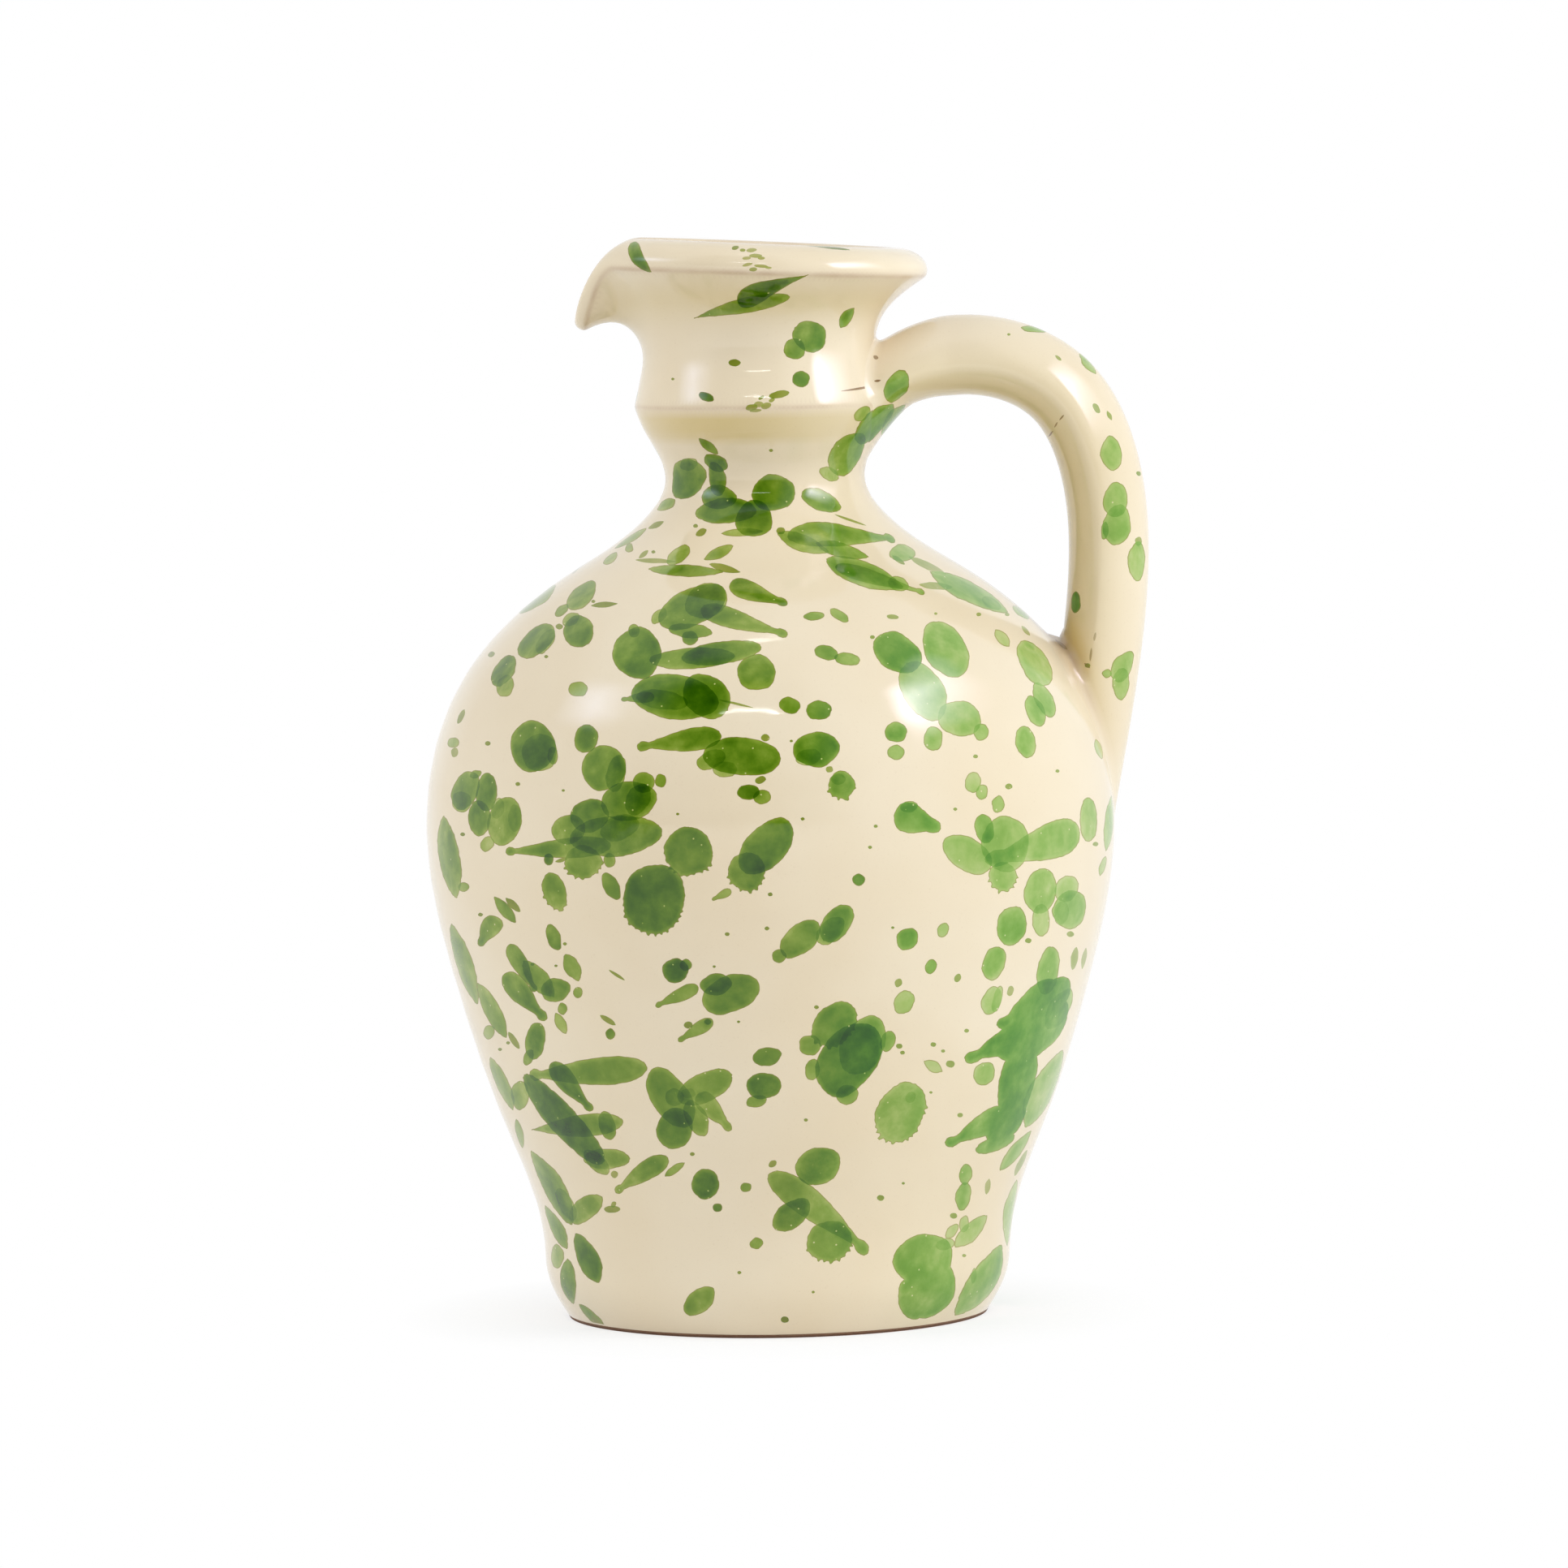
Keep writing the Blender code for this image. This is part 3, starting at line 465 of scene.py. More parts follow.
# Splashes with a tail: the tail's tip, the head's tip, width and thickness. The tail ends in a point, or in
# a knob.
POINTED_SPLASHES = (
    (848, 391, 968, 365, 21, 0.9), (992, 338, 904, 371, 23, 1.6), (644, 1393, 758, 1384, 28, 0.9),
)
POOLED_TAILS = (
    (1232, 1266, 1304, 1211, 32, 1.75), (1192, 1307, 1274, 1268, 34, 1.75),
    (1168, 1411, 1246, 1368, 30, 1.6),
)
TAILED_SPLASHES = (
    (968, 744, 897, 718, 25, 1.2), (967, 782, 860, 749, 26, 0.9), (1112, 664, 976, 657, 29, 1.0),
    (1138, 730, 1028, 697, 18, 1.0), (765, 862, 806, 858, 14, 1.0), (784, 921, 888, 906, 29, 1.3),
    (617, 1050, 748, 1042, 26, 1.1), (589, 1166, 612, 1130, 25, 1.1), (877, 1109, 901, 1097, 11, 0.8),
    (660, 1222, 627, 1164, 21, 1.3), (672, 1257, 620, 1200, 28, 1.1), (729, 1369, 678, 1310, 25, 1.2),
    (642, 1326, 789, 1317, 35, 0.9), (807, 1240, 860, 1216, 18, 1.1), (835, 1283, 878, 1257, 17, 0.9),
    (901, 1393, 860, 1348, 25, 0.8), (755, 1469, 820, 1427, 25, 1.1), (1073, 1543, 952, 1446, 38, 0.8),
    (1160, 1021, 1103, 1002, 38, 1.1), (1222, 1062, 1339, 1022, 46, 1.0),
)
# Specks: middle x and y, and breadth.
SPECKS = (
    (829, 467, 4), (950, 555, 5), (857, 648, 6), (805, 680, 5), (962, 654, 11), (731, 741, 5),
    (689, 772, 9), (673, 809, 5), (605, 806, 10), (1241, 757, 6), (1206, 757, 6), (1281, 770, 6),
    (1075, 785, 6), (1153, 756, 4), (601, 916, 7), (638, 966, 6), (694, 974, 4), (570, 1028, 6),
    (592, 1127, 6), (975, 913, 4), (835, 1003, 4), (989, 1009, 5), (1079, 1018, 5), (1072, 1044, 5),
    (949, 1102, 6), (945, 1144, 6), (896, 1151, 6), (1243, 969, 9), (1202, 932, 6), (1303, 950, 5),
    (1177, 997, 5), (1350, 1040, 7), (1319, 1151, 9), (1267, 1159, 8), (696, 1163, 5), (685, 1190, 4),
    (656, 1188, 5), (1006, 1241, 6), (910, 1259, 4), (880, 1191, 4), (1108, 1289, 8), (1112, 1297, 6),
    (993, 1380, 5), (853, 1422, 6), (1171, 1311, 11), (1150, 1287, 7), (1162, 1295, 5), (1191, 1270, 6),
    (1183, 1374, 7), (1147, 1346, 4), (911, 1568, 5), (1085, 1476, 9), (1113, 1458, 4), (1175, 1498, 9),
    (1188, 1547, 5), (1002, 1592, 4), (616, 1293, 5), (626, 1285, 5), (848, 1263, 11), (872, 1259, 9),
    (1100, 1143, 4),
)
# Hair-thin streaks: both ends, width and thickness.
STREAKS = (
    (974, 301, 1047, 306, 5, 2.0), (885, 862, 928, 872, 3, 0.8), (750, 1195, 770, 1208, 4, 0.8),
    (1028, 634, 1068, 648, 3, 0.7), (684, 1062, 699, 1058, 5, 1.0),
)

# Splashes on the handle, in the same order of fields. The first two leaves lie on the wall as well.
HANDLE_ROUNDS = (
    (1104, 477, 39, 28, 55, 1.3), (1375, 616, 43, 31, 85, 1.0), (1377, 647, 50, 35, 80, 1.0),
    (1361, 654, 22, 10, 85, 1.0), (1402, 692, 49, 21, 88, 0.9), (1403, 667, 11, 9, 90, 0.7),
    (1325, 742, 27, 12, 88, 2.4), (1384, 822, 42, 24, 62, 1.0), (1382, 843, 39, 22, 86, 1.0),
    (1364, 830, 12, 11, 0, 1.2), (1403, 584, 7, 6, 0, 1.4), (1351, 503, 14, 7, -60, 1.1),
)
HANDLE_LEAVES = (
    (1080, 521, 66, 25, 52, 1.3), (1100, 516, 50, 17, 53, 1.0), (1275, 405, 32, 10, -8, 1.1),
    (1341, 448, 33, 12, -55, 1.0), (1370, 559, 44, 28, 97, 1.0), (1304, 441, 10, 4, -40, 0.9),
    (1367, 512, 13, 5, -62, 0.9),
)
HANDLE_SPECKS = ((1243, 412, 4), (1309, 419, 4), (1340, 820, 7))

# Brown stains in the creases round the handle's ends: both ends, width, and how strongly they show.
STAINS = (
    (1040, 482, 1086, 474, 3, 0.75), (1076, 439, 1082, 442, 5, 0.6), (1077, 470, 1085, 469, 3, 0.8),
    (1292, 539, 1297, 531, 2, 0.8), (1299, 527, 1303, 520, 2, 0.6), (1305, 518, 1311, 511, 2, 0.7),
    (1300, 788, 1315, 800, 4, 0.35), (1350, 779, 1348, 790, 3, 0.2), (1345, 798, 1343, 815, 3, 0.3),
    (1336, 817, 1343, 823, 4, 0.5),
)

# Noise in the glaze and in the clay: scale, detail and, for one, roughness.
CLOUDS = (22.0, 3.0)
MOTTLE = (420.0, 4.0, 0.6)
POOLS = (110.0, 2.0)
GRAIN = (2600.0, 2.0)
RIPPLE = (160.0, 2.0)
CLAY_GRAIN = (2200.0, 4.0)
CLAY_PATCHES = (60.0, 3.0)

# The part of a noise's values that is used.
NOISE_SPAN = (0.3, 0.7)
CLOUD_SPAN = (0.35, 0.7)
MOTTLE_SPAN = (0.25, 0.75)
GLOSS_SPAN = (0.2, 0.8)
GRAIN_SPAN = (0.62, 0.75)

# The cream glaze, with its warm clouds and fine grain, its tints where it pools and where shade is painted,
# where it thins and where a shadow line is painted, and its gloss.
CREAM = (0.77, 0.665, 0.50)
CREAM_WARM = (0.73, 0.61, 0.43)
GRAIN_TINT = (0.6, 0.45, 0.3)
GRAIN_STRENGTH = 0.10
# The tint of pooled glaze and of painted shade.
POOL_AND_SHADE_TINT = (0.81, 0.735, 0.42)
POOL_AND_SHADE_SHARES = (0.75, 1.1)
# The tint of thinner glaze, also used for the painted shadow line under the lip.
THIN_AND_SHADE_TINT = (0.70, 0.60, 0.56)
THIN_AND_SHADE_SHARES = (0.35, 1.1)
STAIN = (0.19, 0.085, 0.025)
GLAZE_IOR = 1.5
GLAZE_ROUGHNESS = (0.03, 0.08)
RIPPLE_STRENGTH = 0.035
RIPPLE_HEIGHT = 0.4 * MM

# What the green glaze takes out of red, green and blue at a thickness of one: an olive glaze on the spout's
# side and a fresher one towards the handle, and where along X the one gives way to the other.
OLIVE_ABSORBANCE = np.array((1.78, 1.07, 3.7))
FRESH_ABSORBANCE = np.array((1.68, 0.74, 2.7))
FRESH_SPAN = (2.0 * MM, 32.0 * MM)
THICKEST = 4.0
RAMP_STEPS = 16
POOL_LAYERS = (0.62, 1.24)
MOTTLE_LAYERS = (-0.14, 0.2)
RIM_COLOUR = (0.24, 0.19, 0.03)
RIM_STRENGTH = 0.8

# Pinholes in the green: scale, the pick above which a cell has one, its inner and outer size, and its depth.
HOLE_SCALE = 700.0
HOLE_PICK = 0.86
HOLE_SIZES = (0.08, 0.16)
HOLE_DEPTH = 0.8

# Bare clay, with grain and rubbed patches, browned round the edge that it stands on, where a contact shadow
# is painted in as well.
CLAY = (0.62, 0.33, 0.19)
CLAY_DARK = (0.40, 0.19, 0.10)
# A near-black edge colour: browned clay and a painted contact shadow.
CLAY_EDGE_AND_SHADOW = (0.09, 0.045, 0.025)
EDGE_SHADOW_HEIGHTS = (0.1 * MM, 0.5 * MM)
EDGE_SHADOW_SHARES = (0.98, 0.72)
CLAY_GRAIN_SHARE = 0.6
CLAY_PATCH_SHARE = 0.4
CLAY_ROUGHNESS = 0.85
CLAY_BUMP = 0.5
CLAY_BUMP_HEIGHT = 0.2 * MM

# The floor, from where to where its shadow gives way to white, how white it is close by, and the light from
# all round, level and from overhead.
WHITE = (1.0, 1.0, 1.0, 1.0)
BLACK = (0.0, 0.0, 0.0, 1.0)
FLOOR_SIDE = 6.0
FLOOR_DROP = 0.03 * MM
FLOOR_COLOUR = (0.93, 0.925, 0.915, 1.0)
SHADOW_REACH = (0.043, 0.075)
NEAR_WHITE = 0.72
WORLD_LIGHT = 1.05
ZENITH_LIGHT = 0.46

# The dark side of the studio, seen from the bottle's middle: its bearings and elevations in degrees, its
# distance, its steps, and the share of it over which its edges fade.
CARD_BEARINGS = (-66.0, 34.0)
CARD_ELEVATIONS = (0.0, 78.0)
CARD_DISTANCE = 3.0
CARD_STEPS = 24
CARD_FADE = 0.25

# Lamps that light the bottle and don't show in its gloss: name, bearing and elevation from its middle in
# degrees, distance, width, height and radiance.
LAMPS = (
    ("right_softbox", 66.0, 42.0, 1.5, 0.66, 1.10, 1.88),
    ("right_bulb", 63.0, 40.0, 1.5, 0.32, 0.46, 6.7),
    ("right_low", 54.0, 26.0, 1.5, 0.95, 0.42, 1.7),
    ("right_fill", 72.0, 8.0, 1.8, 1.00, 1.00, 1.32),
    ("left_softbox", -88.0, 30.0, 1.5, 1.10, 1.30, 1.10),
    ("left_bulb", -76.0, 38.0, 1.5, 0.50, 0.60, 0.94),
    ("front_fill", -8.0, 58.0, 1.6, 0.60, 0.30, 1.4),
)
# Panels of a light tent close by, which show in its gloss and give no other light: name, middle, the bearing
# and elevation that its back faces, width, height and radiance, then the shares of the width over which each
# fades in and out, from its left end to its right one, and its colour.
PANELS = (
    ("right_panel", (0.200, -0.090, 0.305), 90.0, 0.0, 0.20, 0.19, 17.0, (0.22, 0.78), (0.92, 0.80, 1.0)),
    ("left_panel", (-0.257, -0.090, 0.313), -70.8, 35.3, 0.16, 0.14, 5.6, (0.5, 0.5), (0.58, 0.68, 1.0)),
    ("upper_strip", (-0.006, -0.068, 0.434), -5.0, 77.8, 0.055, 0.0016, 26.0, (0.1, 0.1), (1.0, 1.0, 1.0)),
    ("lower_strip", (-0.028, -0.220, 0.313), -7.3, 41.1, 0.10, 0.0035, 26.0, (0.1, 0.1), (1.0, 1.0, 1.0)),
)
PANEL_EDGE = 0.5
LAMP_MIDDLE = Vector((0.0, 0.0, 0.12))
LAMP_COLOUR = (0.90, 0.96, 1.0)


def ease(share):
    """Goes from nought to one with a soft start and a soft end."""
    share = np.clip(share, 0.0, 1.0)
    return share * share * (3 - 2 * share)


def stepped_up(value, start, end):
    """Rises smoothly from nought to one between two values."""
    return ease((value - start) / (end - start))


class SmoothCurve:
    """A natural cubic spline through points in a plane, by chord length, as the CAD's curves are."""

    def __init__(self, points):
        self.points = np.array(points, float)
        chords = np.linalg.norm(np.diff(self.points, axis=0), axis=1)
        self.knots = np.concatenate([[0.0], np.cumsum(chords)])
        self.length = self.knots[-1]
        count = len(self.points)
        system = np.eye(count)
        pull = np.zeros((count, 2))
        slopes = np.diff(self.points, axis=0) / chords[:, None]
        for i in range(1, count - 1):
            system[i, i - 1 : i + 2] = chords[i - 1], 2 * (chords[i - 1] + chords[i]), chords[i]
            pull[i] = 6 * (slopes[i] - slopes[i - 1])
        self.bends = np.linalg.solve(system, pull)

    def at(self, place):
        """The points at an array of places along the curve."""
        place = np.atleast_1d(place)
        i = np.clip(np.searchsorted(self.knots, place) - 1, 0, len(self.knots) - 2)
        span = (self.knots[i + 1] - self.knots[i])[:, None]
        b = (place - self.knots[i])[:, None] / span
        a = 1 - b
        eased = (a**3 - a) * self.bends[i] + (b**3 - b) * self.bends[i + 1]
        return a * self.points[i] + b * self.points[i + 1] + eased * span**2 / 6

    def stepped(self, step):
        """Points along the whole curve, about a step apart."""
        return self.at(np.linspace(0, self.length, round(self.length / step) + 1))


def stacked(stations):
    """Station radii and rises as points of radius and height, in metres."""
    heights = np.cumsum([rise for _, rise in stations])
    return [(radius * MM, height * MM) for (radius, _), height in zip(stations, heights)]


LOWER_WALL = SmoothCurve(stacked(LOWER_STATIONS)).stepped(OUTLINE_STEP)
UPPER_WALL = SmoothCurve(stacked(UPPER_STATIONS)).stepped(OUTLINE_STEP)
WHOLE_WALL = np.concatenate([LOWER_WALL, UPPER_WALL[1:]])


def wall_radius(height):
    """Outer radius of the thrown wall at a height, away from the spout."""
    return np.interp(height, WHOLE_WALL[:, 1], WHOLE_WALL[:, 0])


def wall_normal(height):
    """Radial and upward parts of the wall's outward normal at a height."""
    slope = (wall_radius(height + SLOPE_STEP) - wall_radius(height - SLOPE_STEP)) / (2 * SLOPE_STEP)
    return np.array([1.0, -slope]) / math.hypot(1.0, slope)


def inside_of(outer, thickness):
    """The points of an outer wall moved in by a thickness, square to it."""
    along = np.gradient(outer, axis=0)
    normals = np.stack([-along[:, 1], along[:, 0]], axis=1)
    normals /= np.linalg.norm(normals, axis=1)[:, None]
    return outer + normals * np.reshape(thickness, (-1, 1))


def bell(off_centre, half_angle, sharpness):
    """Falls smoothly from one at the spout's middle to nothing at the edge of its sector."""
    return math.cos(math.pi / 2 * min(1.0, off_centre / half_angle)) ** sharpness


def lip_arc(edge, thinning, start):
    """The rolled lip, from its outer edge over its crown to its inner side."""
    outer, inner, crown = np.array((LIP_OUTER, LIP_INNER, LIP_CROWN)) * (1 - thinning)
    middle = edge - np.array((outer * math.cos(start), crown * math.sin(start)))
    turned = np.linspace(start, LIP_END, LIP_SAMPLES)
    reach = np.where(turned < math.pi / 2, outer, inner)
    return middle + np.stack([reach * np.cos(turned), crown * np.sin(turned)], axis=1)


def inner_wall():
    """The inside below the ridge, down to the middle of the floor."""
    wall = inside_of(LOWER_WALL, WALL)[:-RIDGE_COVER][::-1]
    lift = FLOOR + FLOOR_CORNER
    wall = wall[wall[:, 1] > lift]
    turned = np.linspace(math.pi / 2, 0, CORNER_SAMPLES)
    corner_radius = wall[-1, 0] - FLOOR_CORNER
    corner_radii = corner_radius + FLOOR_CORNER * np.sin(turned)
    corner = np.stack([corner_radii, lift - FLOOR_CORNER * np.cos(turned)], axis=1)
    radii = np.linspace(corner_radius, FLOOR_HOLE, FLOOR_SAMPLES)[1:]
    floor = np.stack([radii, np.full(len(radii), FLOOR)], axis=1)
    return np.concatenate([wall, corner[1:], floor])


INNER_WALL = inner_wall()


def meridian(bearing):
    """The wall's outline at a bearing: up the outside, over the lip and down the inside to the floor."""
    off_spout = abs((bearing - SPOUT_BEARING + math.pi) % math.tau - math.pi)
    pulled = bell(off_spout, SPOUT_PULL_ANGLE, SPOUT_PULL_SHARPNESS)
    bent = bell(off_spout, SPOUT_BEND_ANGLE, SPOUT_BEND_SHARPNESS)
    thinning = SPOUT_LIP_THINNING * bent
    radius, height = UPPER_WALL.T
    rise = (height - RIDGE_HEIGHT) / (LIP_HEIGHT - RIDGE_HEIGHT)
    tilted = ease((rise - TILT_START_RISE) / (1 - TILT_START_RISE))
    sunk = math.tan(RIM_TILT) * radius * math.sin(bearing) * tilted + SPOUT_DROOP * bent * rise**DROOP_POWER
    outer = np.stack([radius + SPOUT_PULL * pulled * ease(rise / PULL_FULL_RISE), height - sunk], axis=1)
    inner = inside_of(outer, WALL * (1 - thinning * rise**THINNING_POWER))[RIDGE_COVER:-LIP_COVER][::-1]
    lip = lip_arc(outer[-1], thinning, LIP_START + (SPOUT_LIP_START - LIP_START) * bent)
    bridge = lip[-1] + (inner[0] - lip[-1]) * np.linspace(0, 1, BRIDGE_SAMPLES)[1:-1, None]
    return np.concatenate([LOWER_WALL, outer[1:-1], lip, bridge, inner, INNER_WALL])


CROWN_SAMPLE = len(WHOLE_WALL) - 1 + round(LIP_SAMPLES * CROWN_SHARE)


def softened(table):
    """Rounds the corners of outlines by a running mean along them, with their ends kept."""
    reach = math.ceil(SOFTENING_REACH * SOFTENING)
    offsets = np.arange(-reach, reach + 1)
    weights = np.exp(-0.5 * (offsets / SOFTENING) ** 2)
    weights /= weights.sum()
    padded = np.pad(table, ((0, 0), (reach, reach), (0, 0)), mode="edge")
    count = table.shape[1]
    mean = sum(w * padded[:, i : i + count] for i, w in enumerate(weights))
    mean[:, 0] = table[:, 0]
    mean[:, -1] = table[:, -1]
    return mean


def camera_axes():
    """Right, up and forward of the camera, with its roll."""
    forward = (CAMERA_AIM - CAMERA_EYE).normalized()
    level = forward.cross(Vector((0, 0, 1))).normalized()
    rise = level.cross(forward)
    right = level * math.cos(CAMERA_ROLL) + rise * math.sin(CAMERA_ROLL)
    up = rise * math.cos(CAMERA_ROLL) - level * math.sin(CAMERA_ROLL)
    return right, up, forward


def pictured(points):
    """Where points show in the photograph's frame, in pixels."""
    right, up, forward = (np.array(axis) for axis in camera_axes())
    offsets = points - np.array(CAMERA_EYE)
    scale = PHOTO_SIDE * CAMERA_REACH / FRAME_WIDTH / (offsets @ forward)
    middle = PHOTO_SIDE / 2
    return np.stack([middle + scale * (offsets @ right), middle - scale * (offsets @ up)], axis=-1)


class Surface:
    """A surface as a table of points, by turn round it and by run along it, with lookup between them."""

    def __init__(self, turns, runs, points, pool, thin_and_shade, last_shown):
        self.turns = turns
        self.runs = runs
        self.points = points
        self.pool = pool[..., None]
        self.thin_and_shade = thin_and_shade[..., None]
        across = np.gradient(points, axis=0)
        across[0] = across[-1] = points[1] - points[-2]
        along = np.gradient(points, axis=1)
        normals = np.cross(across, along)
        self.normals = normals / np.linalg.norm(normals, axis=2, keepdims=True)
        shown = np.s_[::SEARCH_STEP, : np.searchsorted(runs, last_shown) : SEARCH_STEP]
        facing = np.sum(self.normals[shown] * (np.array(CAMERA_EYE) - points[shown]), axis=2) > 0
        self.seen_turns = np.repeat(turns[::SEARCH_STEP, None], facing.shape[1], axis=1)[facing]
        self.seen_runs = np.repeat(runs[None, shown[1]], facing.shape[0], axis=0)[facing]
        self.seen_pixels = pictured(points[shown][facing])

    def looked_up(self, table, turn, run):
        """Values of a table at arrays of turns and runs."""
        row = (turn - self.turns[0]) % math.tau / (self.turns[1] - self.turns[0])
        column = np.clip(np.interp(run, self.runs, np.arange(len(self.runs))), 0, len(self.runs) - LAST_STEP)
        i, j = np.minimum(row.astype(int), len(self.turns) - 2), column.astype(int)
        a, b = (row - i)[..., None], (column - j)[..., None]
        near = table[i, j] * (1 - b) + table[i, j + 1] * b
        far = table[i + 1, j] * (1 - b) + table[i + 1, j + 1] * b
        return near * (1 - a) + far * a

    def at(self, turn, run):
        """The points at turns and runs."""
        return self.looked_up(self.points, np.atleast_1d(turn), np.atleast_1d(run))

    def steps_at(self, turn, run):
        """How a point moves as its turn and its run grow, in metres."""
        across = self.at(turn + NUDGE_TURN, run) - self.at(turn - NUDGE_TURN, run)
        along = self.at(turn, run + NUDGE_RUN) - self.at(turn, run - NUDGE_RUN)
        return across[0] / (2 * NUDGE_TURN), along[0] / (2 * NUDGE_RUN)

    def shows_at(self, x, y):
        """Whether some facing point shows close to a pixel of the photograph."""
        return np.sum((self.seen_pixels - (x, y)) ** 2, axis=1).min() < SHOWN_WITHIN**2

    def spot_at_pixel(self, x, y):
        """The turn and run of the facing point that shows nearest to a pixel of the photograph."""
        nearest = np.argmin(np.sum((self.seen_pixels - (x, y)) ** 2, axis=1))
        turn, run = self.seen_turns[nearest], self.seen_runs[nearest]
        left = np.array((x, y)) - pictured(self.at(turn, run)[0])
        return np.array((turn, run)) + np.linalg.inv(self.picture_matrix(turn, run)) @ left

    def picture_matrix(self, turn, run):
        """How the picture moves, in pixels, as turn and run grow. Steep views are held to a limit."""
        across, along = self.steps_at(turn, run)
        here = self.at(turn, run)[0]
        lengths = np.array([np.linalg.norm(across), np.linalg.norm(along)])
        shifts = [
            (pictured(here + NUDGE * step / length) - pictured(here)) / NUDGE
            for step, length in zip((across, along), lengths)
        ]
        left, stretch, right = np.linalg.svd(np.stack(shifts, axis=1))
        held = np.maximum(stretch, STEEPEST_VIEW / PIXEL)
        return left @ np.diag(held) @ right @ np.diag(lengths)

    def plain_matrix(self, turn, run):
        """The same for a splash seen square on."""
        across, along = self.steps_at(turn, run)
        return np.diag([np.linalg.norm(across), -np.linalg.norm(along)]) / PIXEL


def hump(values, middle, spread):
    """One at a middle, falling off smoothly to both sides."""
    return np.exp(-0.5 * ((values - middle) / spread) ** 2)


def thrown_surface():
    """The thrown wall, with the marks that the hand leaves."""
    bearings = np.linspace(-math.pi, math.pi, BEARING_SAMPLES + 1)
    outlines = softened(np.stack([meridian(bearing) for bearing in bearings]))
    front = outlines[BEARING_SAMPLES // 2]
    runs = np.concatenate([[0.0], np.cumsum(np.linalg.norm(np.diff(front, axis=0), axis=1))])
    lip_run = runs[len(WHOLE_WALL) - 1]
    outside = ease(runs / MARKS_GROW) * ease((lip_run - runs) / MARKS_FADE)
    turned = bearings[:, None]
    wander = RING_WANDER * np.sin(runs / RING_WANDER_LENGTH)
    rings = RING_HEIGHT * np.sin(math.tau * runs / RING_PITCH + turned + wander)
    first_length, second_length = UNEVEN_LENGTHS
    uneven = UNEVENNESS * np.sin(2 * turned + UNEVEN_START + runs / first_length)
    uneven = uneven * np.sin(runs / second_length + np.cos(turned))
    smoothed = 1 - hump(turned, HANDLE_BEARING, SMOOTHED_ANGLE)
    radius = outlines[..., 0] + (rings + uneven) * outside * smoothed
    points = np.stack([radius * np.sin(turned), -radius * np.cos(turned), outlines[..., 1]], axis=2)
    ridge_run = runs[len(LOWER_WALL) - 1]
    below = ridge_run - runs
    # Painted shade under the ridge, over pooled glaze, strongest at the front and left.
    around = NECK_POOL_SHADE_ROUND + (1 - NECK_POOL_SHADE_ROUND) * hump(turned, NECK_POOL_SHADE_BEARING, NECK_POOL_SHADE_ANGLE)
    pool = NECK_POOL_SHADE * around * stepped_up(below, *NECK_POOL_SHADE_TOP) * (1 - stepped_up(below, *NECK_POOL_SHADE_END))
    # Painted shade under the lip, over pooled glaze.
    pool = pool + LIP_POOL_SHADE * hump(runs, lip_run - LIP_POOL_SHADE_BELOW, LIP_POOL_SHADE_SPREAD)
    # Thinner glaze with a painted shadow line along the lip's lower edge.
    lip_thin_shadow = LIP_THIN_SHADOW * hump(runs, lip_run, LIP_THIN_SHADOW_SPREAD)
    crown_thin = CROWN_THIN * hump(runs, runs[CROWN_SAMPLE], CROWN_THIN_SPREAD)
    thin_and_shade = RIDGE_THIN * hump(runs, ridge_run, RIDGE_THIN_SPREAD) + (lip_thin_shadow + crown_thin)
    everywhere = np.ones((len(bearings), 1))
    return Surface(bearings, runs, points, everywhere * pool, everywhere * thin_and_shade, runs[CROWN_SAMPLE])


def strap_path():
    """Centre line of the strap in the XZ plane, buried in the wall at both ends."""
    root_height = RIDGE_HEIGHT + ROOT_ABOVE_RIDGE
    root = np.array((wall_radius(root_height), root_height))
    start = root - ROOT_DEPTH * np.array((math.cos(ROOT_PITCH), math.sin(ROOT_PITCH)))
    crown = root + (CROWN_REACH, CROWN_RISE)
    landing_height = BELLY_HEIGHT + LANDING_ABOVE_BELLY
    landing = np.array((wall_radius(landing_height) + LANDING_STANDOFF, landing_height))
    reach = landing[0] + STRAP_BOW
    bend = (reach - BEND_INSET, crown[1] - BEND_DROP)
    back = (reach - BACK_INSET, crown[1] - BACK_DROP)
    middle = (reach, (back[1] + landing_height) / 2)
    tail_height = BELLY_HEIGHT + TAIL_ABOVE_BELLY
    tail = np.array((wall_radius(tail_height) - STRAP_THICKNESS / 2, tail_height))
    end = tail + TAIL_DEPTH * (tail - landing) / np.linalg.norm(tail - landing)
    return SmoothCurve([start, root, crown, bend, back, middle, landing, tail, end])


# The strap's path, and how far along it lie its root, its crown, the middle of its back, its landing on the
# shoulder and its tail.
STRAP = strap_path()
STRAP_ROOT, STRAP_CROWN, STRAP_MIDDLE, STRAP_LANDING, STRAP_TAIL = STRAP.knots[[1, 2, 5, 6, 7]]


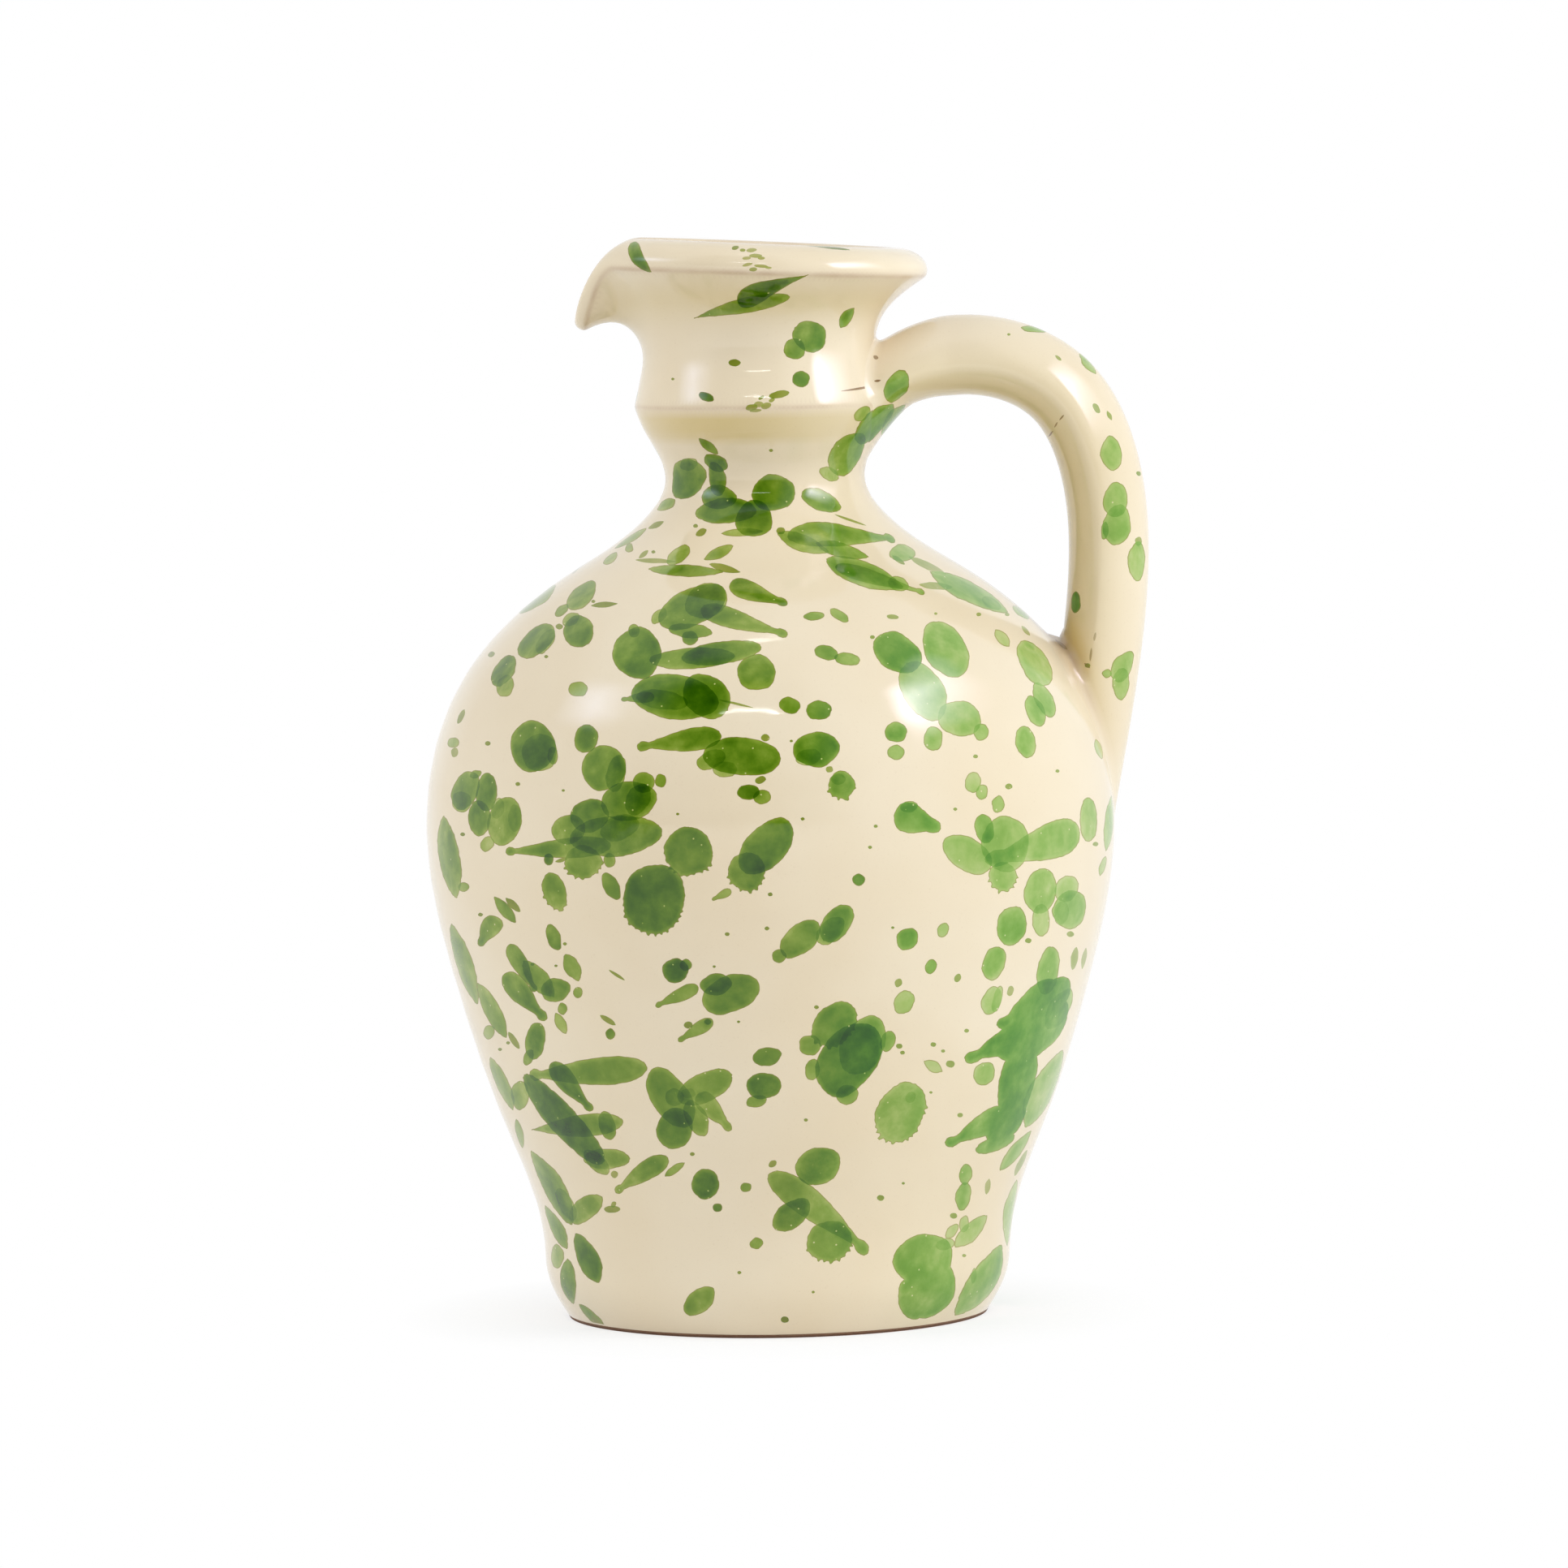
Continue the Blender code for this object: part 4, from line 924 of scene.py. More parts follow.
def strap_point(place, turned):
    """A point on the strap's side, and the side's outward direction there. Turn nought is the far side."""
    (x, z), before, after = STRAP.at(np.array([place, place - SLOPE_STEP / 2, place + SLOPE_STEP / 2]))
    along = (after - before) / np.linalg.norm(after - before)
    outer = np.array((-along[1], 0.0, along[0]))
    across = np.array((0.0, 1.0, 0.0))
    stops = [STRAP_ROOT, STRAP_CROWN, STRAP_LANDING, STRAP_TAIL]
    half_width = np.interp(place, stops, [STRAP_ROOT_WIDTH, STRAP_WIDTH, STRAP_WIDTH, STRAP_TAIL_WIDTH]) / 2
    thickness = np.interp(place, [STRAP_ROOT, STRAP_CROWN], [STRAP_ROOT_THICKNESS, STRAP_THICKNESS])
    edge_lift = STRAP_INNER_DEPTH - thickness / 2
    depth = thickness - STRAP_INNER_DEPTH if math.sin(turned) > 0 else STRAP_INNER_DEPTH
    reach = half_width + STRAP_EDGE * abs(math.cos(turned)) ** STRAP_EDGE_POWER
    side = across * (reach * math.cos(turned)) + outer * (edge_lift + depth * math.sin(turned))
    away = across * (math.cos(turned) / half_width) + outer * (math.sin(turned) / depth)
    return np.array((x, 0.0, z)) + side, away / np.linalg.norm(away)


def on_wall(point):
    """The point of the wall at the same height and bearing, and the wall's normal there."""
    radial, upward = wall_normal(point[2])
    level = np.array((point[0], point[1], 0.0)) / math.hypot(point[0], point[1])
    up = np.array((0.0, 0.0, 1.0))
    return level * wall_radius(point[2]) + up * point[2], level * radial + up * upward


def place_at_clearance(turned, buried, free, clearance):
    """Where along the strap a line on its side stands off the wall by this much."""
    for _ in range(HALVINGS):
        middle = (buried + free) / 2
        point = strap_point(middle, turned)[0]
        if math.hypot(point[0], point[1]) - wall_radius(point[2]) < clearance:
            buried = middle
        else:
            free = middle
    return (buried + free) / 2


def luting_line(turned, buried, free, sizes):
    """One line of a luting fillet, from under the wall's glaze up on to the strap, and where it ends."""
    outer_share = ease((1 + math.sin(turned)) / 2)
    climb, reach = [inner + (outer - inner) * outer_share for outer, inner in sizes]
    corner_place = place_at_clearance(turned, buried, free, 0.0)
    top_place = place_at_clearance(turned, buried, free, climb)
    corner, away = strap_point(corner_place, turned)
    normal = on_wall(corner)[1]
    outward = away - normal * away.dot(normal)
    outward /= np.linalg.norm(outward)
    foot, foot_normal = on_wall(corner + outward * reach)
    foot = foot - foot_normal * LUTING_SUNK
    top = strap_point(top_place, turned)[0]
    share = np.linspace(0, 1, FILLET_SAMPLES)[:, None]
    return foot * (1 - share) ** 2 + corner * (2 * share * (1 - share)) + top * share**2, top_place


def strap_line(turned):
    """One line along the handle, from the wall at its root to the wall at its tail."""
    root, start = luting_line(turned, 0.0, STRAP_CROWN, (UPPER_CLIMB, UPPER_REACH))
    tail, end = luting_line(turned, STRAP.length, STRAP_MIDDLE, (LOWER_CLIMB, LOWER_REACH))
    places = np.linspace(start, end, STRAP_SAMPLES)[1:-1]
    middle = [strap_point(place, turned)[0] for place in places]
    return np.concatenate([root, middle, tail[::-1]])


def handle_surface():
    """The pulled strap, with the luting clay round both its ends."""
    turns = np.linspace(0, math.tau, HANDLE_TURNS + 1)
    lines = np.stack([strap_line(turned) for turned in turns])
    lines = softened(lines)
    steps = np.linalg.norm(np.diff(lines, axis=1), axis=2).mean(axis=0)
    runs = np.concatenate([[0.0], np.cumsum(steps)])
    from_tail = runs[-1] - runs
    # Painted shade, over pooled glaze, along the strap's inner face.
    pool = STRAP_POOL_SHADE * stepped_up(np.minimum(runs, from_tail), *STRAP_POOL_SHADE_START)
    # Painted shade in the corner where the strap's tail meets the wall.
    pool = pool + CORNER_POOL_SHADE * hump(from_tail, CORNER_POOL_SHADE_UP, CORNER_POOL_SHADE_SPREAD)
    thin_and_shade = CREASE_THIN * hump(from_tail, CREASE_THIN_UP, CREASE_THIN_SPREAD)
    inner_share = ease((1 - np.sin(turns)) / 2)[:, None]
    return Surface(turns, runs, lines, inner_share * pool, inner_share * thin_and_shade, runs[-1])


class Splash:
    """Outlines in turn and run, the outer one first, the matrix that takes them to pixels, and the glaze."""

    def __init__(self, outlines, matrix, thickness):
        self.outlines = outlines
        self.matrix = matrix
        self.thickness = thickness
        self.stain = 0.0
        self.pooled = False

    def turned_into(self, low):
        """Moves it by whole turns, so that it starts in the turn that begins at low."""
        start = self.outlines[0][:, 0].mean()
        shift = (start - low) // math.tau * math.tau
        for outline in self.outlines:
            outline[:, 0] -= shift

    def within(self, low, high):
        """Whether it stays clear of a surface's seam."""
        turns = self.outlines[0][:, 0]
        return turns.min() > low and turns.max() < high

    def depths(self, spots):
        """How far spots lie inside the outer outline, in pixels."""
        starts = self.outlines[0] @ self.matrix.T
        sides = np.roll(starts, -1, axis=0) - starts
        lengths = np.maximum(np.sum(sides**2, axis=1), LEAST_SQUARE)
        offsets = (spots @ self.matrix.T)[:, None] - starts[None]
        shares = np.clip(np.sum(offsets * sides[None], axis=2) / lengths, 0, 1)
        return np.linalg.norm(offsets - shares[..., None] * sides[None], axis=2).min(axis=1)

    def layers(self, depths):
        """Thickness of the glaze at depths inside the outline: thinner towards it."""
        return self.thickness * (EDGE_LAYER + (1 - EDGE_LAYER) * ease(depths / EDGE_REACH))

    def rims(self, depths):
        """How strongly the dark line along the outline shows at depths inside it."""
        if len(self.outlines) == 1:
            return np.full(len(depths), SPECK_RIM)
        return np.clip(1 - depths / RIM_WIDTH, 0, 1)

    def hold_within(self, low, high):
        """Flattens what would run off the ends of a surface."""
        for outline in self.outlines:
            np.clip(outline[:, 1], low, high, out=outline[:, 1])


def smooth_noise(rng, count, waves):
    """A closed run of noise of a few waves, between about -1 and 1."""
    angle = np.arange(count) * math.tau / count
    total = np.zeros(count)
    for wave in waves:
        total += rng.uniform(*WAVE_STRENGTHS) * np.cos(wave * angle + rng.uniform(0, math.tau))
    return total / math.sqrt(len(waves))


def outward_of(outline):
    """Unit normals of a closed outline that runs anticlockwise."""
    along = np.roll(outline, -1, axis=0) - np.roll(outline, 1, axis=0)
    normals = np.stack([along[:, 1], -along[:, 0]], axis=1)
    return normals / np.maximum(np.linalg.norm(normals, axis=1), LEAST_LENGTH)[:, None]


def point_count(length, width, pixels):
    """How many points an outline gets, this many pixels apart."""
    around = math.pi * (length + width) / 2
    return int(np.clip(around / pixels, *POINT_LIMITS))


def round_outline(length, width, pixels):
    """An oval, with its points this many pixels apart."""
    count = point_count(length, width, pixels)
    angle = np.arange(count) * math.tau / count
    return np.stack([length / 2 * np.cos(angle), width / 2 * np.sin(angle)], axis=1)


def leaf_outline(length, width):
    """Narrowing to both ends."""
    outline = round_outline(length, width, OUTLINE_PIXELS)
    outline[:, 1] *= np.sqrt(np.abs(outline[:, 1]) / (width / 2))
    return outline


def tailed_outline(length, width, knob):
    """A drop that narrows into a tail, which ends in a knob of this size. Its head is to the right."""
    half = length / 2
    count = point_count(length, width, OUTLINE_PIXELS) // 2
    x = -half * np.cos(np.linspace(0, math.pi, count))
    along = (x + half) / length
    swell = along**TAIL_TAPER * np.sqrt(1 - along)
    swell *= width / 2 / swell.max()
    knob_half = KNOB_REACH * knob
    end = knob * np.sqrt(np.clip(1 - ((x + half - knob_half) / knob_half) ** 2, 0, None))
    neck = NECK_SHARE * knob * ease((x + half) / knob) * (along < TAIL_SHARE)
    side = (swell**TAIL_BLEND + end**TAIL_BLEND + neck**TAIL_BLEND) ** (1 / TAIL_BLEND)
    lower = np.stack([x, -side], axis=1)
    upper = np.stack([x, side], axis=1)[-2:0:-1]
    return np.concatenate([lower, upper])


def roughened(rng, outline, width):
    """An outline with the waviness of glaze that ran: slow waves by its width, and fine bumps."""
    count = len(outline)
    around = np.linalg.norm(np.diff(outline, axis=0, append=outline[:1]), axis=1).sum()
    slow = SLOW_WAVE * width * smooth_noise(rng, count, SLOW_WAVES)
    waves = [max(FEWEST_BUMPS, round(around / length)) for length in BUMP_LENGTHS]
    fine = FINE_BUMP * min(1, width / FULL_BUMP_WIDTH) * smooth_noise(rng, count, waves)
    normals = outward_of(outline)
    room = np.abs(outline[:, 1]) / np.maximum(np.abs(normals[:, 1]), LEAST_SLANT)
    return outline + normals * np.maximum(slow + fine, -DEEPEST_DENT * room)[:, None]


def with_teeth(rng, outline, lean):
    """Small drips round the lower side of an outline."""
    normals = outward_of(outline)
    down = np.array((-math.sin(lean), -math.cos(lean)))
    lowness = stepped_up(normals @ down, *TOOTHED_SIDE)
    around = np.cumsum(np.linalg.norm(np.diff(outline, axis=0, append=outline[:1]), axis=1))
    drift = TOOTH_DRIFT * smooth_noise(rng, len(outline), TOOTH_DRIFT_WAVES)
    teeth = np.clip(np.sin(math.tau * around / TOOTH_PITCH + drift), 0, None) ** TOOTH_BLUNTNESS
    uneven = 0.5 + 0.5 * smooth_noise(rng, len(outline), TOOTH_DEPTH_WAVES)
    depth = TOOTH_DEPTH * np.clip(uneven, *TOOTH_DEPTHS)
    return outline + normals * (teeth * depth * lowness)[:, None]


def leaned(outline, lean):
    """An outline turned by its lean, in picture pixels, with y running down."""
    cosine, sine = math.cos(lean), math.sin(lean)
    x, y = outline.T
    return np.stack([x * cosine - y * sine, -(x * sine + y * cosine)], axis=1)


def laid_on(spot, matrix, outline, width, thickness):
    """A splash on a surface, from an outline in pixels about its middle."""
    to_surface = np.linalg.inv(matrix)
    outlines = [outline]
    # With y running down, the outline runs clockwise, so these normals point inwards.
    inward = outward_of(outline)
    if width > SMALLEST_RIMMED:
        outlines.append(outline + inward * RIM_WIDTH)
    if width > SMALLEST_DEEP:
        outlines.append(outline[::2] + inward[::2] * EDGE_REACH)
    return Splash([np.array(spot) + ring @ to_surface.T for ring in outlines], matrix, thickness)


def shaped(rng, kind, length, width, lean):
    """The outline of one kind of splash, in pixels about its middle."""
    if kind == "leaf":
        outline = roughened(rng, leaf_outline(length, width), width)
    elif kind in ("tailed", "pointed"):
        knob = max(KNOB_SHARE * width, SMALLEST_KNOB) if kind == "tailed" else POINT_SIZE
        outline = roughened(rng, tailed_outline(length, width, knob), width / 2)
    elif kind == "toothed":
        outline = roughened(rng, round_outline(length, width, TOOTH_PIXELS), width)
        outline = with_teeth(rng, outline, lean)
    else:
        outline = roughened(rng, round_outline(length, width, OUTLINE_PIXELS), width)
    return leaned(outline, lean)


def seen_splash(surface, rng, kind, x, y, length, width, lean, thickness):
    """A splash where the photograph shows one."""
    turn, run = surface.spot_at_pixel(x, y)
    outline = shaped(rng, kind, length, width, lean)
    thickness *= 1 - RIGHT_THINNING * stepped_up(x, RIGHT_START, RIGHT_END)
    return laid_on((turn, run), surface.picture_matrix(turn, run), outline, width, thickness)


def between_ends(x0, y0, x1, y1):
    """Middle, length and lean of a splash from its two ends."""
    return (x0 + x1) / 2, (y0 + y1) / 2, math.hypot(x1 - x0, y1 - y0), math.atan2(y0 - y1, x1 - x0)


def placed_splashes(surface, rng, kind, rows):
    """Splashes given by their middle, sizes and lean."""
    splashes = []
    for x, y, length, width, lean, thickness in rows:
        splashes.append(seen_splash(surface, rng, kind, x, y, length, width, math.radians(lean), thickness))
    return splashes


def drawn_splashes(surface, rng, kind, rows):
    """Splashes given by their two ends."""
    splashes = []
    for *ends, width, thickness in rows:
        x, y, length, lean = between_ends(*ends)
        splashes.append(seen_splash(surface, rng, kind, x, y, length, width, lean, thickness))
    return splashes


def speck_splashes(surface, rng, rows):
    """Specks given by their middle and breadth."""
    specks = [(x, y, size, SPECK_FLATNESS * size, 0, SPECK_THICKNESS) for x, y, size in rows]
    return placed_splashes(surface, rng, "round", specks)


def stains(surface, rng):
    """The brown stains, without any green."""
    shown = [row for row in STAINS if surface.shows_at(*row[:2]) and surface.shows_at(*row[2:4])]
    made = drawn_splashes(surface, rng, "leaf", shown)
    for stain, (*_, strength) in zip(made, shown):
        stain.outlines = stain.outlines[:1]
        stain.stain = strength
        stain.thickness = 0.0
    return made


def front_splashes(surface, rng):
    """The splashes that the photograph shows on the thrown wall."""
    splashes = placed_splashes(surface, rng, "round", POOLED_SPLASHES)
    splashes += drawn_splashes(surface, rng, "tailed", POOLED_TAILS)
    for splash in splashes:
        splash.pooled = True
    splashes += placed_splashes(surface, rng, "round", ROUND_SPLASHES + BROKEN_SPLASHES)
    splashes += placed_splashes(surface, rng, "toothed", TOOTHED_SPLASHES)
    splashes += placed_splashes(surface, rng, "leaf", LEAF_SPLASHES)
    splashes += drawn_splashes(surface, rng, "tailed", TAILED_SPLASHES)
    splashes += drawn_splashes(surface, rng, "pointed", POINTED_SPLASHES)
    splashes += drawn_splashes(surface, rng, "leaf", STREAKS)
    return splashes + speck_splashes(surface, rng, SPECKS) + stains(surface, rng)


def handle_splashes(surface, rng):
    """The splashes that the photograph shows on the handle."""
    splashes = placed_splashes(surface, rng, "round", HANDLE_ROUNDS)
    splashes += placed_splashes(surface, rng, "leaf", HANDLE_LEAVES)
    return splashes + speck_splashes(surface, rng, HANDLE_SPECKS) + stains(surface, rng)


def hidden_splashes(surface, rng, clusters, specks, turns, runs):
    """Splashes of the same kinds, thrown in clusters over a side that the photograph doesn't show."""
    splashes = []
    low_turn, high_turn = turns
    low_run, high_run = runs
    while len(splashes) < specks:
        spot = (rng.uniform(low_turn, high_turn), rng.uniform(low_run, high_run))
        breadth = rng.uniform(*HIDDEN_SPECK_SIZES)
        outline = shaped(rng, "round", breadth, SPECK_FLATNESS * breadth, 0.0)
        splashes.append(laid_on(spot, surface.plain_matrix(*spot), outline, breadth, SPECK_THICKNESS))
    for _ in range(clusters):
        middle = np.array((rng.uniform(low_turn, high_turn), rng.uniform(low_run, high_run)))
        matrix = surface.plain_matrix(*middle)
        lean = rng.uniform(0, math.pi)
        for _ in range(rng.choice(CLUSTER_COUNTS)):
            shift = np.array((rng.gauss(0, CLUSTER_SPREAD), rng.gauss(0, CLUSTER_SPREAD)))
            spot = middle + np.linalg.inv(matrix) @ shift
            length = min(LONGEST_SPLASH, COMMON_LENGTH * math.exp(rng.gauss(0, LENGTH_SPREAD)))
            kind = rng.choice(CLUSTER_KINDS)
            shares = SLENDER_SHARES if kind in ("leaf", "tailed") else ROUND_SHARES
            width = length * rng.uniform(*shares)
            outline = shaped(rng, kind, length, width, lean + rng.gauss(0, LEAN_SPREAD))
            splashes.append(laid_on(spot, matrix, outline, width, rng.uniform(*HIDDEN_THICKNESSES)))
    return splashes


def row_runs(surface, turn, low, high):
    """Runs for the rows of a mesh: closer together where the surface curves more along its length."""
    runs = np.linspace(low, high, RUN_SAMPLES)
    normals = surface.looked_up(surface.normals, np.full(len(runs), turn), runs)
    bends = np.linalg.norm(np.gradient(normals, runs, axis=0), axis=1)
    thin_and_shade = surface.looked_up(surface.thin_and_shade, np.full(len(runs), turn), runs)[:, 0]
    # A chord lies off its arc by an eighth of the bend times the chord squared.
    need = np.maximum(1 / LONGEST_ROW, np.sqrt(bends / (8 * FLATNESS)))
    need = np.maximum(need, np.minimum(thin_and_shade / THIN_SEEN, 1) / SHORTEST_ROW)
    total = np.concatenate([[0.0], np.cumsum((need[1:] + need[:-1]) / 2 * np.diff(runs))])
    count = math.ceil(total[-1]) + 1
    return np.interp(np.linspace(0, total[-1], count), total, runs)


def outline_loops(splashes, scale):
    """All outlines flat and anticlockwise: the outer ones, one for each splash, and the ones inside those."""
    outer, inner = [], []
    for splash in splashes:
        for k, ring in enumerate(splash.outlines):
            flat = ring * (scale, 1.0)
            x, y = flat.T
            if np.sum(x * np.roll(y, -1) - np.roll(x, -1) * y) < 0:
                flat = flat[::-1]
            (inner if k else outer).append(flat)
    return outer, inner


def background_points(turns, rows, columns, scale, loops):
    """A staggered grid over the whole surface, left out where outlines have points of their own."""
    tree = KDTree(sum(map(len, loops)))
    for ring in loops:
        for x, y in ring:
            tree.insert((x, y, 0.0), 0)
    tree.balance()
    low, high = turns
    points = []
    for i, run in enumerate(rows):
        edge = i in (0, len(rows) - 1)
        spacing = rows[i + 1] - run if i + 1 < len(rows) else run - rows[i - 1]
        for j in range(columns + 1):
            side = edge or j in (0, columns)
            shift = 0.5 if i % 2 and not side else 0.0
            x = scale * (low + (high - low) * (j - shift) / columns)
            if side or tree.find((x, run, 0.0))[2] > GRID_CLEARANCE * spacing:
                points.append((x, run))
    return points


class Skin:
    """A surface as triangles that follow every splash's outline, with the glaze at each of their corners."""

    def __init__(self, splashes, turns, rows, columns, scale):
        outer, inner = outline_loops(splashes, scale)
        points = background_points(turns, rows, columns, scale, outer + inner)
        rings = []
        edges = []
        for ring in outer:
            rings.append(list(range(len(points), len(points) + len(ring))))
            points.extend(map(tuple, ring))
        for ring in inner:
            numbers = list(range(len(points), len(points) + len(ring)))
            edges.extend(zip(numbers, numbers[1:] + numbers[:1]))
            points.extend(map(tuple, ring))
        flat = [Vector(point) for point in points]
        verts, _, faces, _, _, holders = delaunay_2d_cdt(flat, edges, rings, 0, CUT_TOLERANCE, True)
        self.flat = np.array([tuple(v) for v in verts]) / (scale, 1.0)
        self.faces = [list(face) for face in faces]
        self.fill_corners(splashes, holders)

    def fill_corners(self, splashes, holders):
        """Adds up the layers of glaze that lie over each corner of each face."""
        members = [set() for _ in splashes]
        for face, held in zip(self.faces, holders):
            for k in held:
                members[k].update(face)
        layers, rims = [], []
        for splash, numbers in zip(splashes, members):
            numbers = sorted(numbers)
            depths = splash.depths(self.flat[numbers]) if numbers else np.zeros(0)
            layers.append(dict(zip(numbers, splash.layers(depths))))
            rims.append(dict(zip(numbers, splash.rims(depths))))
        self.corners = {"glaze": [], "rim": [], "stain": []}
        for face, held in zip(self.faces, holders):
            stain = max((splashes[k].stain for k in held), default=0.0)
            pooled = [k for k in held if splashes[k].pooled]
            single = [k for k in held if not splashes[k].pooled]
            for v in face:
                over = [layers[k][v] for k in single]
                over.append(max((layers[k][v] for k in pooled), default=0.0))
                over.sort(reverse=True)
                self.corners["glaze"].append(over[0] + OVERLAP_SHARE * sum(over[1:]))
                self.corners["rim"].append(rims[next(iter(held))][v] if len(held) == 1 else 0.0)
                self.corners["stain"].append(stain)


def linked(name, data):
    """A new object in the scene, from a mesh, a lamp or a camera."""
    made = bpy.data.objects.new(name, data)
    bpy.context.collection.objects.link(made)
    return made


def meshed(name, points, faces, material):
    """A new object in the scene, from points and faces."""
    mesh = bpy.data.meshes.new(name)
    mesh.from_pydata(points, [], faces)
    mesh.materials.append(material)
    return linked(name, mesh)


class Piece:
    """Points, normals and faces of a piece, its texture places, and glaze and painted shade at points and
    corners.
    """

    def __init__(self):
        self.points = []
        self.normals = []
        self.faces = []
        self.places = []
        self.pool = []
        self.thin_and_shade = []
        self.corners = {"glaze": [], "rim": [], "stain": []}

    def add_points(self, points, normals, pool=None, thin_and_shade=None):
        """Appends points, and gives their numbers."""
        first = len(self.points)
        self.points.extend(map(tuple, points))
        self.normals.extend(map(tuple, normals))
        self.pool.extend([0.0] * len(points) if pool is None else pool)
        self.thin_and_shade.extend([0.0] * len(points) if thin_and_shade is None else thin_and_shade)
        return list(range(first, first + len(points)))

    def add_plain_face(self, numbers, places):
        """A face without green."""
        self.faces.append(numbers)
        self.places.extend(places)
        for values in self.corners.values():
            values.extend([0.0] * len(numbers))

    def add_ring(self, lower, upper, low_place, high_place):
        """Quads between two closed loops of as many points, with the texture's heights of both."""
        count = len(lower)
        for j in range(count):
            k = (j + 1) % count
            left, right = j / count, (j + 1) / count
            places = [(left, low_place), (right, low_place), (right, high_place), (left, high_place)]
            self.add_plain_face([lower[j], lower[k], upper[k], upper[j]], places)

    def add_fan(self, loop, tip, loop_place, tip_place):
        """Triangles from a closed loop to a tip."""
        count = len(loop)
        for j in range(count):
            left, right = j / count, (j + 1) / count
            places = [(left, loop_place), (right, loop_place), ((left + right) / 2, tip_place)]
            self.add_plain_face([loop[j], loop[(j + 1) % count], tip], places)

    def made(self, name, material):
        """The piece as a Blender object, shaded by its own normals."""
        made = meshed(name, self.points, self.faces, material)
        mesh = made.data
        for label, values in self.corners.items():
            mesh.attributes.new(label, "FLOAT", "CORNER").data.foreach_set("value", values)
        for label, values in (("pool", self.pool), ("thin_and_shade", self.thin_and_shade)):
            mesh.attributes.new(label, "FLOAT", "POINT").data.foreach_set("value", values)
        layer = mesh.uv_layers.new(name="OFBake")
        layer.data.foreach_set("uv", [value for place in self.places for value in place])
        mesh.polygons.foreach_set("use_smooth", [True] * len(self.faces))
        mesh.normals_split_custom_set_from_vertices(self.normals)
        return made


def add_skin(piece, surface, skin, turns, rows, places):
    """Puts a cut skin into a piece, joined along its seam. Gives the loops along its first and last rows."""
    low, high = turns
    turn, run = skin.flat.T
    points = surface.at(turn, run)
    normals = surface.looked_up(surface.normals, turn, run)
    normals /= np.linalg.norm(normals, axis=1)[:, None]
    at_high = np.abs(turn - high) < ON_SEAM
    at_low = {round(run[k], RUN_DIGITS): k for k in np.flatnonzero(np.abs(turn - low) < ON_SEAM)}
    kept = np.flatnonzero(~at_high)
    number = np.full(len(turn), -1)
    pool = surface.looked_up(surface.pool, turn, run)[kept, 0]
    thin_and_shade = surface.looked_up(surface.thin_and_shade, turn, run)[kept, 0]
    number[kept] = piece.add_points(points[kept], normals[kept], pool, thin_and_shade)
    for k in np.flatnonzero(at_high):
        number[k] = number[at_low[round(run[k], RUN_DIGITS)]]
    across = (turn - low) / (high - low)
    along = places[0] + (places[1] - places[0]) * (run - rows[0]) / (rows[-1] - rows[0])
    for face in skin.faces:
        piece.faces.append([int(number[k]) for k in face])
        piece.places.extend((across[k], along[k]) for k in face)
    for label, values in skin.corners.items():
        piece.corners[label].extend(values)
    loops = []
    for edge in (rows[0], rows[-1]):
        on_edge = [k for k in kept if abs(run[k] - edge) < ON_EDGE]
        loops.append([int(number[k]) for k in sorted(on_edge, key=lambda k: turn[k])])
    return loops


def kept_splashes(splashes, turns, margin):
    """The splashes that lie within one turn of a surface, clear of its seam."""
    low, high = turns
    for splash in splashes:
        splash.turned_into(low)
    return [splash for splash in splashes if splash.within(low + margin, high - margin)]


def add_inside(piece, surface, loop, first_run):
    """The plain glaze inside, from the cut skin's last row down to the middle of the floor."""
    below, below_place = loop, SKIN_PLACES[1]
    for i, run in enumerate(np.linspace(first_run, surface.runs[-1], INNER_ROWS + 1)[1:]):
        spots = np.full(WALL_COLUMNS, run)
        place = SKIN_PLACES[1] + (INNER_PLACE - SKIN_PLACES[1]) * (i + 1) / INNER_ROWS
        normals = surface.looked_up(surface.normals, WALL_BEARINGS, spots)
        above = piece.add_points(surface.at(WALL_BEARINGS, spots), normals)
        piece.add_ring(below, above, below_place, place)
        below, below_place = above, place
    tip = piece.add_points([(0.0, 0.0, FLOOR)], [(0.0, 0.0, 1.0)])[0]
    piece.add_fan(below, tip, below_place, below_place + FLOOR_PLACE)


def add_foot_cover(piece, loop):
    """Closes the skin flat under the foot, where the bare clay hides it."""
    edge = np.array([piece.points[k] for k in loop])
    down = (0.0, 0.0, -1.0)
    rim = piece.add_points(edge * (COVER_SHARE, COVER_SHARE, 1.0), [down] * WALL_COLUMNS)
    middle = piece.add_points([(0.0, 0.0, edge[0, 2])], [down])[0]
    piece.add_ring(rim, loop, COVER_PLACE, SKIN_PLACES[0])
    piece.add_fan(rim[::-1], middle, COVER_PLACE, 0.0)


